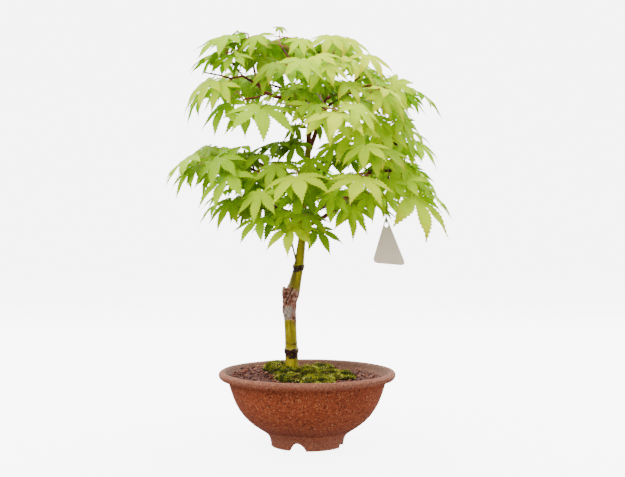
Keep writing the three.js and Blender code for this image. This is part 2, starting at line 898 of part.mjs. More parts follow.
    leaves: [
      [58, -100, 300, -105, 18, -12, 54],
      [66, -62, 282, -70, 54, 5, 32],
      [40, -88, 312, -125, 34, 0, 38],
    ],
    pairs: 0,
  },
  {
    name: "spray_low_right_far",
    branch: "lowRightFar",
    shoot: [[116, -36, 300], [124, -30, 297]],
    leaves: [
      [117, -62, 286, -68, 38, -15, 66],
      [132, -30, 290, -22, 28, -12, 46],
      [112, -4, 300, 60, 38, 0, 42],
    ],
    pairs: 0,
  },
  {
    name: "spray_low_right_under",
    branch: "lowRightUnder",
    shoot: [[43, -54, 276], [43, -58, 277]],
    leaves: [
      [43, -68, 270, -62, 48, -10, 42],
      [29, -84, 290, -120, 56, 0, 36],
    ],
    pairs: 0,
  },
  {
    name: "spray_low_left",
    branch: "lowLeft",
    shoot: [[-60, -51, 281], [-66, -56, 280]],
    leaves: [
      [-48, -84, 286, -115, 40, 6, 42],
      [-50, -60, 258, -140, 29, -10, 40],
      [-82, -52, 276, -130, 42, 0, 40],
    ],
    pairs: 0,
  },
  {
    name: "spray_low_front",
    branch: "lowFront",
    shoot: [[-12, -48, 267], [-13, -53, 266]],
    leaves: [
      [-16, -66, 249, -102, 30, 4, 44],
      [10, -46, 246, -55, 32, 8, 38],
      [-30, -50, 262, -125, 30, 0, 42],
    ],
    pairs: 1,
  },
  {
    name: "spray_low_back_left",
    branch: "lowBackLeft",
    shoot: [[-62, 54, 278], [-72, 62, 278]],
    leaves: [],
    pairs: 3,
  },
  {
    name: "spray_low_back_right",
    branch: "lowBackRight",
    shoot: [[58, 60, 282], [66, 68, 282]],
    leaves: [],
    pairs: 3,
  },
];
const shootSides = 4;
const shootTipRadius = 0.8;
const shootThinner = 0.05;
const shootGap = 0.5;

// A small generator of draws from 0 to 1, so that the tree grows the same way each time.
const drawFactor = 16807;
const drawRange = 2147483647;
let draw = 20;
function chance() {
  draw = (draw * drawFactor) % drawRange;
  return draw / drawRange;
}

function between(low, high) {
  return low + (high - low) * chance();
}

function shootPath({ branch, shoot }) {
  const end = new THREE.Vector3(...branches[branch].path.at(-1));
  const next = new THREE.Vector3(...shoot[0]);
  const start = end.clone().addScaledVector(next.clone().sub(end).normalize(), shootGap);
  return [start, next, ...shoot.slice(1).map((point) => new THREE.Vector3(...point))];
}

function shootLimb(spray) {
  const path = shootPath(spray);
  const thick = branches[spray.branch].ends[1] - shootThinner;
  const last = path.length - 1;
  const line = path.map((point, i) => [
    ...point.toArray(),
    THREE.MathUtils.lerp(thick, shootTipRadius, i / last),
  ]);
  return limb(line, shootSides);
}

// The free place on the shoot that a leaf's stalk grows from: the nearest to a point behind the
// blade. The stalk's root is sunk into the shoot, short of its middle.
const stalkLength = 24;
const placesPerStretch = 5;
const firstPlace = 0.8;
const placesOver = 0.2;
const rootShort = 0.3;
function stalkRoot(spray, at, heading, taken) {
  const path = shootPath(spray);
  const blade = new THREE.Vector3(...at);
  const back = new THREE.Vector3(Math.cos(radians(heading)), Math.sin(radians(heading)), 0);
  const behind = blade.clone().addScaledVector(back, -stalkLength);
  let best = null;
  for (let i = 0; i < (path.length - 1) * placesPerStretch; i += 1) {
    const stretch = Math.floor(i / placesPerStretch);
    const share = ((i % placesPerStretch) + firstPlace) / (placesPerStretch + placesOver);
    const point = path[stretch].clone().lerp(path[stretch + 1], share);
    const far = point.distanceTo(behind);
    if (!taken.has(i) && (!best || far < best.far)) {
      best = { place: i, far, point };
    }
  }
  const towards = blade.sub(best.point).setLength(rootShort);
  return { place: best.place, root: best.point.add(towards).toArray() };
}

// The rule's leaves: how far the stalks of the end pair turn off the shoot, how much further each
// pair's do, and the ranges that the draws fall in.
const grown = {
  pairInset: 0.15,
  endTurn: 34,
  turnPerPair: 26,
  bladeTurnShare: 0.8,
  stalkSwing: 8,
  bladeSwing: 12,
  reach: [22, 31],
  riseSwing: 6,
  riseOfPairs: [-2, 8],
  pitch: [18, 38],
  rollSwing: 12,
  length: [36, 47],
};

// Opposite pairs along a shoot, as leaf rows: every blade faces out of the crown and hangs a little.
function grownRows(spray) {
  const path = shootPath(spray);
  const rows = [];
  for (let i = 0; i < spray.pairs; i += 1) {
    const place = ((spray.pairs - i) / spray.pairs) * (path.length - 1) - grown.pairInset;
    const step = Math.min(Math.floor(place), path.length - 2);
    const node = path[step].clone().lerp(path[step + 1], place - step);
    const along = path[step + 1].clone().sub(path[step]);
    const ahead = (Math.atan2(along.y, along.x) * 180) / Math.PI;
    const turn = grown.endTurn + grown.turnPerPair * i;
    for (const sign of [1, -1]) {
      const stalk = ahead + sign * turn + between(-grown.stalkSwing, grown.stalkSwing);
      const reach = between(...grown.reach);
      const rise = between(-grown.riseSwing, grown.riseSwing) + grown.riseOfPairs[i % 2];
      rows.push([
        node.x + reach * Math.cos(radians(stalk)),
        node.y + reach * Math.sin(radians(stalk)),
        node.z + rise,
        ahead + sign * turn * grown.bladeTurnShare + between(-grown.bladeSwing, grown.bladeSwing),
        between(...grown.pitch),
        between(-grown.rollSwing, grown.rollSwing),
        between(...grown.length),
      ]);
    }
  }
  return rows;
}

// Where a leaf may move, in turn, to stay clear of what already stands: mostly along the depth.
const nudges = [];
const nudgeRises = [0, 4, -4, 8, -8];
const nudgeDepths = [0, -3, 3, -6, 6, -9, 9, -13, 13, -17];
for (const rise of nudgeRises) {
  for (const depth of nudgeDepths) {
    nudges.push([0, depth, rise]);
  }
}
nudges.sort((a, b) => Math.abs(a[1]) + 2 * Math.abs(a[2]) - Math.abs(b[1]) - 2 * Math.abs(b[2]));
const bareShare = 0.22;

// What stands already: its whole solid and, for a leaf, the same without its stalk's root.
function standingBody(owner, whole, rootless = whole) {
  const { min, max } = whole.boundingBox();
  return { owner, whole, rootless, min, max };
}

function apart(a, b) {
  return [0, 1, 2].some((axis) => a.max[axis] < b.min[axis] || b.max[axis] < a.min[axis]);
}

// Whether a fattened leaf meets anything. Only leaves of one spray may meet at their stalks' roots.
function clashes(fat, standing) {
  return standing.some((other) => {
    if (apart(fat, other)) {
      return false;
    }
    if (!fat.rootless.intersect(other.rootless).isEmpty()) {
      return true;
    }
    return fat.owner !== other.owner && !fat.whole.intersect(other.whole).isEmpty();
  });
}

// The first place in turn where the leaf is clear of everything, or null.
function placedLeaf(spray, row, standing, taken) {
  const [x, y, z, heading, pitch, roll, size] = row;
  for (const [dx, dy, dz] of nudges) {
    const at = [x + dx, y + dy, z + dz];
    const leaf = { at, heading, pitch, roll, size, ...stalkRoot(spray, at, heading, taken) };
    const fat = standingBody(
      spray.name,
      solidFrom(leafGeometry(leaf, rootClearance)),
      solidFrom(leafGeometry(leaf, leafClearance, bareShare)),
    );
    if (!clashes(fat, standing)) {
      return leaf;
    }
  }
  return null;
}

// All the leaves of the tree: the rows come first, then what the rule grows in the room left.
function growLeaves(standing) {
  const leavesOf = new Map(sprays.map((spray) => [spray.name, []]));
  const placesTaken = new Map(sprays.map((spray) => [spray.name, new Set()]));
  const place = (spray, row) => {
    const taken = placesTaken.get(spray.name);
    const leaf = placedLeaf(spray, row, standing, taken);
    if (leaf) {
      taken.add(leaf.place);
      leavesOf.get(spray.name).push(leaf);
      const whole = solidFrom(leafGeometry(leaf));
      const rootless = solidFrom(leafGeometry(leaf, 0, bareShare));
      standing.push(standingBody(spray.name, whole, rootless));
    }
  };
  for (const spray of sprays) {
    spray.leaves.forEach((row) => place(spray, row));
  }
  for (const spray of sprays) {
    grownRows(spray).forEach((row) => place(spray, row));
  }
  return leavesOf;
}

// ---------------------------------------------------------------- tag and tie

// Corners of the tag as [x, z, corner radius], apex first.
const tagCorners = [
  [85.9, 260.4, 2.2],
  [107.8, 206, 4],
  [71, 209.2, 4],
];
const tagHole = { x: 86.3, z: 250.6 };

function tagSolid() {
  const shape = new THREE.Shape();
  tagCorners.forEach(([x, z, radius], i) => {
    const corner = new THREE.Vector2(x, z);
    const [beforeX, beforeZ] = tagCorners.at(i - 1);
    const [afterX, afterZ] = tagCorners[(i + 1) % tagCorners.length];
    const reach = tagCornerReach * radius;
    const towards = (px, pz) => new THREE.Vector2(px, pz).sub(corner).setLength(reach).add(corner);
    const arrive = towards(beforeX, beforeZ);
    const leave = towards(afterX, afterZ);
    if (i === 0) {
      shape.moveTo(arrive.x, arrive.y);
    } else {
      shape.lineTo(arrive.x, arrive.y);
    }
    shape.quadraticCurveTo(corner.x, corner.y, leave.x, leave.y);
  });
  shape.closePath();
  const rim = [];
  for (let i = 0; i < tagHoleSides; i += 1) {
    const angle = (i * 2 * Math.PI) / tagHoleSides;
    rim.push(new THREE.Vector2(
      tagHole.x + (tagHoleWidth / 2) * Math.cos(angle),
      tagHole.z + (tagHoleHeight / 2) * Math.sin(angle),
    ));
  }
  shape.holes.push(new THREE.Path(rim));
  const card = new THREE.ExtrudeGeometry(shape, {
    depth: tagThickness,
    bevelEnabled: false,
    curveSegments: tagCornerSegments,
  });
  card.rotateX(Math.PI / 2);
  card.translate(0, tagDepth + tagThickness / 2, 0);
  return solidFrom(card);
}

// The tie's route: from the knot at the branch down to the small knot above the tag.
const tieRoute = [
  [89, -50, 306.4],
  [88, -50, 300],
  [87.2, -50, 291],
  [86.9, -50, 282],
  [86.4, -50, 272],
  [85.9, -50, 264],
];
// The loop from the small knot, down in front of the card, through its hole and up behind it.
const tieLoop = [
  [85.9, -50, 264],
  [86, -51.3, 260.5],
  [86.2, -51.5, 255],
  [86.3, -50, 252.2],
  [86.2, -48.5, 255],
  [86, -48.7, 260.5],
];
const branchRing = { x: 89, y: -50, z: 309, radius: 2.9 };
const tieKnots = [
  { at: tieRoute[2], radius: 1.6 },
  { at: tieRoute.at(-1), radius: 1.2 },
];

function tube(points, closed, steps) {
  const curve = new THREE.CatmullRomCurve3(
    points.map(([x, y, z]) => new THREE.Vector3(x, y, z)),
    closed,
    "centripetal",
  );
  const section = new THREE.Shape();
  for (let i = 0; i < tieSides; i += 1) {
    const angle = (i * 2 * Math.PI) / tieSides;
    const corner = [tieRadius * Math.cos(angle), tieRadius * Math.sin(angle)];
    if (i === 0) {
      section.moveTo(...corner);
    } else {
      section.lineTo(...corner);
    }
  }
  section.closePath();
  return new THREE.ExtrudeGeometry(section, { steps, extrudePath: curve, bevelEnabled: false });
}

function knot({ at, radius }) {
  const ball = new THREE.SphereGeometry(radius, knotSides, knotBands);
  ball.translate(...at);
  return ball;
}

function tieSolid() {
  const ring = new THREE.TorusGeometry(branchRing.radius, tieRadius, ringSides, ringSegments);
  ring.rotateY(Math.PI / 2);
  ring.translate(branchRing.x, branchRing.y, branchRing.z);
  const parts = [
    ring,
    tube(tieRoute, false, tieSteps),
    tube(tieLoop, true, tieSteps),
    ...tieKnots.map(knot),
  ];
  return joined(parts.map(solidFrom));
}

// ---------------------------------------------------------------- assembly

const tree = new THREE.Group();
const hole = trunkHole();
const soil = solidFrom(soilGeometry());
const raisedSoil = soilGeometry();
raisedSoil.translate(0, 0, contactGap);
const wood = woodSolid();
const tag = tagSolid();
const tie = tieSolid();
const moss = joined(mossCushions.map(cushionGeometry).map(solidFrom))
  .subtract(solidFrom(raisedSoil))
  .subtract(hole);

tree.add(meshOf("bowl", bowlSolid(), finishes.stoneware));
tree.add(meshOf("soil", soil.subtract(hole), finishes.soil));
tree.add(meshOf("moss", moss, finishes.moss));
tree.add(meshOf("trunk", wood, finishes.bark));
tree.add(meshOf("tag", tag, finishes.card));
tree.add(meshOf("tag_tie", tie, finishes.cord));

const shoots = new Map(sprays.map((spray) => [spray.name, solidFrom(shootLimb(spray))]));
const standing = [wood, tag, tie].map((solid) => standingBody("", solid));
shoots.forEach((solid, name) => standing.push(standingBody(name, solid)));
const leavesOf = growLeaves(standing);
for (const spray of sprays) {
  const leaves = leavesOf.get(spray.name).map((leaf) => solidFrom(leafGeometry(leaf)));
  const whole = joined([shoots.get(spray.name), ...leaves]);
  tree.add(meshOf(spray.name, whole, finishes.leaf));
}

export default tree;
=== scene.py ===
import math
import random

import bmesh
import bpy
import numpy as np
from mathutils import Matrix, Vector, noise


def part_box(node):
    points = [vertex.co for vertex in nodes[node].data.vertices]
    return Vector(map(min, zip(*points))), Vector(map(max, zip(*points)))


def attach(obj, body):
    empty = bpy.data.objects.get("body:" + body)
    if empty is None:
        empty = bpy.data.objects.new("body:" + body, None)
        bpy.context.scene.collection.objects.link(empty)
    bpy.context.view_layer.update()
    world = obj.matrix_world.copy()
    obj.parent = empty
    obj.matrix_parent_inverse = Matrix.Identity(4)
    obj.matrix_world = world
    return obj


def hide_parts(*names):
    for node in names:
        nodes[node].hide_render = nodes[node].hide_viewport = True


# A young Japanese maple bonsai in a round unglazed bowl, with a plain tag hung on a low branch.
# Everything is in metres, and mm turns millimetres into them.
mm = 0.001
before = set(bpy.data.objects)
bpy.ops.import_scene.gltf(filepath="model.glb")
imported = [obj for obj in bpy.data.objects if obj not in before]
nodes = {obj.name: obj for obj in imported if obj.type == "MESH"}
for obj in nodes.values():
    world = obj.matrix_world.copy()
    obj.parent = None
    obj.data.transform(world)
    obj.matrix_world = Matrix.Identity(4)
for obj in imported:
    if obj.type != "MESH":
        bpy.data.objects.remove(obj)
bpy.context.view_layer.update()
sprayNames = sorted(name for name in nodes if name.startswith("spray_"))
print("frame loaded,", len(nodes), "nodes,", len(sprayNames), "sprays")


# shared helpers

def linear(hexColour):
    parts = [int(hexColour[i : i + 2], 16) / 255 for i in (1, 3, 5)]
    return [p / 12.92 if p <= 0.04045 else ((p + 0.055) / 1.055) ** 2.4 for p in parts] + [1]


def addNode(tree, kind, links=None, **settings):
    # settings named like an input set that input, the others set the node's own property
    node = tree.nodes.new(kind)
    for name, value in settings.items():
        if hasattr(node, name):
            setattr(node, name, value)
        else:
            node.inputs[name.replace("_", " ")].default_value = value
    for name, source in (links or {}).items():
        tree.links.new(source, node.inputs[name])
    return node


def addRamp(tree, source, stops, colours=True):
    ramp = addNode(tree, "ShaderNodeValToRGB", {"Fac": source})
    elements = ramp.color_ramp.elements
    while len(elements) < len(stops):
        elements.new(0.5)
    for element, (place, value) in zip(elements, stops):
        element.position = place
        element.color = linear(value) if colours else (value, value, value, 1)
    return ramp.outputs["Color"]


def mixColours(tree, share, first, second, blend="MIX"):
    mix = tree.nodes.new("ShaderNodeMix")
    mix.data_type = "RGBA"
    mix.blend_type = blend
    for socket, value in ((mix.inputs[0], share), (mix.inputs[6], first), (mix.inputs[7], second)):
        if isinstance(value, bpy.types.NodeSocket):
            tree.links.new(value, socket)
        elif isinstance(value, str):
            socket.default_value = linear(value)
        else:
            socket.default_value = value
    return mix.outputs[2]


def calculate(tree, operation, first, second=0.0, third=0.0):
    node = tree.nodes.new("ShaderNodeMath")
    node.operation = operation
    for socket, value in zip(node.inputs, (first, second, third)):
        if isinstance(value, bpy.types.NodeSocket):
            tree.links.new(value, socket)
        else:
            socket.default_value = value
    return node.outputs[0]


def newMaterial(name, roughness, **shaderSettings):
    # gives the material, its tree, its shader and the place on the object that patterns read
    material = bpy.data.materials.new(name)
    material.use_nodes = True
    tree = material.node_tree
    shader = tree.nodes["Principled BSDF"]
    shader.inputs["Roughness"].default_value = roughness
    for setting, value in shaderSettings.items():
        shader.inputs[setting.replace("_", " ")].default_value = value
    place = addNode(tree, "ShaderNodeTexCoord").outputs["Object"]
    return material, tree, shader, place


def finishSurface(tree, shader, colour, height, strength, depth, **bumpSettings):
    # the last links of a material: its colour, and its fine relief with a depth in mm
    tree.links.new(colour, shader.inputs["Base Color"])
    bump = addNode(
        tree, "ShaderNodeBump", {"Height": height}, Strength=strength, Distance=depth * mm, **bumpSettings
    )
    tree.links.new(bump.outputs["Normal"], shader.inputs["Normal"])


def deselectAll():
    if bpy.context.mode != "OBJECT":
        bpy.ops.object.mode_set(mode="OBJECT")
    bpy.ops.object.select_all(action="DESELECT")


def makeActive(piece):
    deselectAll()
    piece.select_set(True)
    bpy.context.view_layer.objects.active = piece


def applyModifier(piece, kind, **settings):
    makeActive(piece)
    modifier = piece.modifiers.new(kind.lower(), kind)
    for name, value in settings.items():
        setattr(modifier, name, value)
    bpy.ops.object.modifier_apply(modifier=modifier.name)


def roundEdges(piece, width, segments):
    # every edge sharper than 50 degrees, with a width in mm
    sharp = math.radians(50)
    applyModifier(
        piece, "BEVEL", width=width * mm, segments=segments, limit_method="ANGLE", angle_limit=sharp
    )


def applyPlace(piece):
    makeActive(piece)
    bpy.ops.object.transform_apply(location=True, rotation=True, scale=True)


def joinPieces(pieces, name):
    deselectAll()
    for piece in pieces:
        piece.select_set(True)
    bpy.context.view_layer.objects.active = pieces[0]
    if len(pieces) > 1:
        bpy.ops.object.join()
    whole = bpy.context.view_layer.objects.active
    whole.name = name
    return whole


def pieceOf(mesh, name):
    piece = bpy.data.objects.new(name, mesh)
    bpy.context.scene.collection.objects.link(piece)
    return piece


def copyOfNode(nodeName, pieceName):
    # a free copy of a CAD node, with its loose triangles joined up
    mesh = nodes[nodeName].data.copy()
    piece = pieceOf(mesh, pieceName)
    makeActive(piece)
    bpy.ops.object.mode_set(mode="EDIT")
    bpy.ops.mesh.select_all(action="SELECT")
    bpy.ops.mesh.remove_doubles(threshold=0.002 * mm)
    bpy.ops.object.mode_set(mode="OBJECT")
    mesh.materials.clear()
    return piece


def settle(piece, material, slotName, *replacedNodes, smoothAngle=40):
    # the last thing done to each piece: finish, shading, and what it rides on and stands for
    piece.data.materials.clear()
    piece.data.materials.append(material)
    makeActive(piece)
    bpy.ops.object.shade_smooth_by_angle(angle=math.radians(smoothAngle))
    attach(piece, "root")
    if replacedNodes:
        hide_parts(*replacedNodes)
    return piece


def moveVertices(piece, shift):
    # shift takes a vertex place and normal and gives its new place
    mesh = piece.data
    now = [(vertex.co.copy(), vertex.normal.copy()) for vertex in mesh.vertices]
    moved = [shift(place, normal) for place, normal in now]
    mesh.vertices.foreach_set("co", np.array(moved).ravel())
    mesh.update()


def setAttributes(mesh, **values):
    # one number for each vertex, kept on the mesh for its material to read
    for name, numbers in values.items():
        if isinstance(numbers, (int, float)):
            numbers = [numbers] * len(mesh.vertices)
        mesh.attributes.new(name, "FLOAT", "POINT").data.foreach_set("value", numbers)


def lumpsAt(place, waves):
    # the height of some noise at a place, from waves given as (height, scale)
    return sum(height * noise.noise(place * scale) for height, scale in waves)


def turnProfile(steps, unit):
    # in edit mode: the selected circle at the first (radius, height) is extruded and resized to the others
    for (radius, height), (nextRadius, nextHeight) in zip(steps, steps[1:]):
        rise, growth = (nextHeight - height) * unit, nextRadius / radius
        bpy.ops.mesh.extrude_edges_move(TRANSFORM_OT_translate={"value": (0, 0, rise)})
        bpy.ops.transform.resize(value=(growth, growth, 1), center_override=(0, 0, nextHeight * unit))


def smoothStep(low, high, value):
    share = min(1.0, max(0.0, (value - low) / (high - low)))
    return share * share * (3 - 2 * share)


# camera, at the photograph's viewing angle

cameraSettings = {"place": (0.006, -1.4, 0.285), "tiltDown": 2.1, "lens": 71.6, "sensor": 36, "near": 0.05}


def buildCamera(settings):
    tilt = math.radians(90 - settings["tiltDown"])
    bpy.ops.object.camera_add(location=settings["place"], rotation=(tilt, 0, 0))
    camera = bpy.context.object
    camera.data.lens = settings["lens"]
    camera.data.sensor_width = settings["sensor"]
    camera.data.clip_start = settings["near"]
    bpy.context.scene.camera = camera


buildCamera(cameraSettings)
print("camera placed")


# the tag's tie, a thin dark waxed cord

tieSettings = {
    "diameter": 1.0 * mm,
    "routePoints": [
        (0.089, -0.05, 0.3064),
        (0.088, -0.05, 0.300),
        (0.0872, -0.05, 0.291),
        (0.0869, -0.05, 0.282),
        (0.0864, -0.05, 0.272),
        (0.0859, -0.05, 0.264),
    ],
    "loopPoints": [
        (0.0859, -0.05, 0.264),
        (0.086, -0.0513, 0.2605),
        (0.0862, -0.0515, 0.255),
        (0.0863, -0.05, 0.2522),
        (0.0862, -0.0485, 0.255),
        (0.086, -0.0487, 0.2605),
    ],
    "ringCentre": (0.089, -0.05, 0.309),
    "ringRadius": 2.9 * mm,
    "ringCorners": 20,
    "stepsPerStretch": 5,
    "knots": [((0.0872, -0.05, 0.291), 1.55 * mm), ((0.0859, -0.05, 0.264), 1.15 * mm)],
    # each turn of a knot: its slant, and its reach and thickness as shares of the knot's size
    "knotTurns": [((0.5, 0.4, 0), 0.55, 0.5), ((1.7, 0.2, 0.6), 0.5, 0.45)],
    # where the two tails end, and how far they bow out on the way, in mm to one side
    "tailEnd": (2.6, -1.2, -3.2),
    "tailBow": (0.6, -0.4, 0.6),
}


def curveThrough(points, closed, perStretch):
    # smooth points through given ones, with each stretch cut into equal steps
    places = [Vector(p) for p in points]
    count = len(places)
    stretches = count if closed else count - 1
    smooth = []
    for i in range(stretches):
        a = places[(i - 1) % count] if closed or i > 0 else places[0] * 2 - places[1]
        b = places[i]
        c = places[(i + 1) % count]
        last = not closed and i + 2 >= count
        d = places[-1] * 2 - places[-2] if last else places[(i + 2) % count]
        for step in range(perStretch):
            t = step / perStretch
            smooth.append(
                0.5
                * (
                    2 * b
                    + (c - a) * t
                    + (2 * a - 5 * b + 4 * c - d) * t * t
                    + (3 * b - a - 3 * c + d) * t**3
                )
            )
    if not closed:
        smooth.append(places[-1])
    return smooth


def tubeAlong(name, splines, sides=8):
    # each spline is (points, radii, closed); the bevelled curve becomes a mesh
    deselectAll()
    bpy.ops.curve.primitive_nurbs_path_add(location=(0, 0, 0))
    tube = bpy.context.object
    tube.name = name
    curve = tube.data
    curve.splines.clear()
    curve.dimensions = "3D"
    curve.bevel_depth = 1.0
    curve.bevel_resolution = max(0, sides // 2 - 2)
    curve.use_fill_caps = True
    for points, radii, closed in splines:
        spline = curve.splines.new("POLY")
        spline.points.add(len(points) - 1)
        spline.use_cyclic_u = closed
        for i, point in enumerate(points):
            spline.points[i].co = (*point, 1)
            spline.points[i].radius = radii[i]
    makeActive(tube)
    bpy.ops.object.convert(target="MESH")
    return bpy.context.object


def buildTie(settings):
    radius = settings["diameter"] / 2
    route = curveThrough(settings["routePoints"], False, settings["stepsPerStretch"])
    loop = curveThrough(settings["loopPoints"], True, settings["stepsPerStretch"])
    cx, cy, cz = settings["ringCentre"]
    ring = []
    for i in range(settings["ringCorners"]):
        angle = 2 * math.pi * i / settings["ringCorners"]
        across, up = settings["ringRadius"] * math.cos(angle), settings["ringRadius"] * math.sin(angle)
        ring.append(Vector((cx, cy + across, cz + up)))
    hang = tubeAlong("tie_hang", [(route, [radius] * len(route), False)], sides=10)
    rest = tubeAlong("tie_loops", [(loop, [radius] * len(loop), True), (ring, [radius] * len(ring), True)])
    knots = []
    for place, size in settings["knots"]:
        for slant, reach, thickness in settings["knotTurns"]:
            deselectAll()
            bpy.ops.mesh.primitive_torus_add(
                location=place, rotation=slant, major_segments=16, minor_segments=8,
                major_radius=size * reach, minor_radius=size * thickness,
            )
            knots.append(bpy.context.object)
            applyPlace(knots[-1])
    tails = []
    for sign in (-1, 1):
        mirror = Vector((sign, 1, 1))
        start = Vector(settings["knots"][0][0])
        end = start + Vector(settings["tailEnd"]) * mirror * mm
        middle = (start + end) / 2 + Vector(settings["tailBow"]) * mirror * mm
        tails.append(([start, middle, end], [radius] * 3, False))
    tailTube = tubeAlong("tie_tails", tails)
    loops = joinPieces([rest, tailTube] + knots, "tie_loops")
    return hang, loops, route


def tieMaterial():
    # waxed polyester cord, braided: near black, a soft sheen, the braid as fine slanting bands
    material, tree, shader, place = newMaterial("waxed_cord", 0.62, Specular_IOR_Level=0.4)
    braid = addNode(tree, "ShaderNodeTexWave", {"Vector": place}, Scale=600.0, Distortion=2.0)
    braid.bands_direction = "DIAGONAL"
    colour = addRamp(tree, braid.outputs["Fac"], [(0.0, "#181416"), (1.0, "#3a3032")])
    finishSurface(tree, shader, colour, braid.outputs["Fac"], 0.4, 0.1)
    return material


cordMaterial = tieMaterial()
tieHang, tieLoops, tieRoute = buildTie(tieSettings)
settle(tieHang, cordMaterial, "tie_string", "tag_tie")
settle(tieLoops, cordMaterial, "tie_string", "tag_tie")


# the bowl, thrown stoneware, turned from its profile

bowlSettings = {
    "sides": 96,
    # the profile as (radius, height), out of the foot, over the rim and down inside
    "outside": [
        (40.8, 0), (41.1, 3), (41.9, 7), (43.3, 10.8), (46, 14.2), (50.4, 17.4),
        (56.2, 21.2), (62.2, 25.4), (67.8, 30.2), (72.8, 35.6), (77.2, 41.8),
        (81.1, 49), (84.3, 56.8), (86.9, 64.4), (89, 71.6), (89.8, 73.8),
    ],
    "rim": [
        (91.4, 74.9), (94.4, 75.1), (97.2, 75.8), (99.1, 77.3), (100, 79.4), (99.9, 81.4),
        (98.8, 83), (97.2, 83.9), (95.4, 84.2), (93.5, 83.8), (91.8, 82.5), (90.6, 80.6),
    ],
    "inside": [
        (89.7, 78.4), (88.4, 77.3), (86.6, 75.6), (85, 72.6), (83.2, 69), (80.2, 61),
        (76.8, 53), (68, 37), (50, 22.8), (30, 18), (9, 15.5),
    ],
    "underside": [(9, 10), (31.4, 10), (33.8, 9.5), (34.6, 8.3), (34.8, 6), (35, 0.4), (35.5, 0)],
    "notch": {
        "count": 4, "first": -105, "bottomWidth": 19, "topWidth": 10.5, "height": 9,
        "blockLength": 24, "blockCentre": 38, "taper": 0.55,
    },
    "edgeRound": 0.5,
    # faint turning rings 3 mm apart, and the slight wobble of a hand-thrown wall
    "ringDepth": 0.06,
    "ringRadians": 2100,  # of the wave in each metre of height
    "wobble": 0.25,
    "wobbleScale": 55,
}


def buildBowl(settings):
    # a circle at the foot, turned up the outside, over the rim and down the inside
    steps = settings["outside"] + settings["rim"] + settings["inside"] + settings["underside"]
    deselectAll()
    radius, height = steps[0]
    bpy.ops.mesh.primitive_circle_add(
        vertices=settings["sides"], radius=radius * mm, location=(0, 0, height * mm)
    )
    bowl = bpy.context.object
    bowl.name = "bowl_turned"
    bpy.ops.object.transform_apply(location=True, rotation=False, scale=False)
    bpy.ops.object.mode_set(mode="EDIT")
    bpy.ops.mesh.select_all(action="SELECT")
    turnProfile(steps, mm)
    bpy.ops.mesh.select_all(action="DESELECT")
    bpy.ops.object.mode_set(mode="OBJECT")
    # the foot's flat ring closes the loop between the last step and the first
    for vertex in bowl.data.vertices:
        vertex.select = abs(vertex.co.z) < 0.01 * mm
    bpy.ops.object.mode_set(mode="EDIT")
    bpy.ops.mesh.bridge_edge_loops()
    bpy.ops.mesh.select_all(action="SELECT")
    bpy.ops.mesh.normals_make_consistent(inside=False)
    bpy.ops.object.mode_set(mode="OBJECT")
    notch = settings["notch"]
    for i in range(notch["count"]):
        cutNotch(bowl, notch, notch["first"] + i * 360 / notch["count"])
    roundEdges(bowl, settings["edgeRound"], 2)

    def throwMarks(place, normal):
        if place.z < 1 * mm:
            return place  # the foot stays flat
        ring = settings["ringDepth"] * math.sin(place.z * settings["ringRadians"])
        ring *= smoothStep(12 * mm, 20 * mm, place.z)
        lump = settings["wobble"] * noise.noise(place * settings["wobbleScale"])
        return place + normal * (ring + lump) * mm

    moveVertices(bowl, throwMarks)
    inside = []
    for vertex in bowl.data.vertices:
        place, normal = vertex.co, vertex.normal
        inward = normal.x * place.x + normal.y * place.y < -0.3 * math.hypot(place.x, place.y)
        inside.append(float(inward))
    setAttributes(bowl.data, inside=inside)
    return bowl


def cutNotch(bowl, notch, heading):
    # an arched block, swept out through the foot ring
    half = notch["bottomWidth"] / 2 * mm
    deselectAll()
    bpy.ops.mesh.primitive_cylinder_add(
        vertices=24, radius=half, depth=notch["blockLength"] * mm,
        location=(0, 0, 0), rotation=(0, math.pi / 2, 0),
    )
    cutter = bpy.context.object
    bpy.ops.object.transform_apply(location=True, rotation=True, scale=True)
    narrow = (notch["bottomWidth"] - notch["topWidth"]) / notch["bottomWidth"]
    for vertex in cutter.data.vertices:
        rise = vertex.co.z / half
        vertex.co.z = rise * notch["height"] * mm
        if rise > 0:
            vertex.co.y *= 1 - narrow * rise * notch["taper"]
    cutter.data.transform(Matrix.Translation((notch["blockCentre"] * mm, 0, 0)))
    cutter.data.transform(Matrix.Rotation(math.radians(heading), 4, "Z"))
    applyModifier(bowl, "BOOLEAN", operation="DIFFERENCE", object=cutter, solver="EXACT")
    bpy.data.objects.remove(cutter)


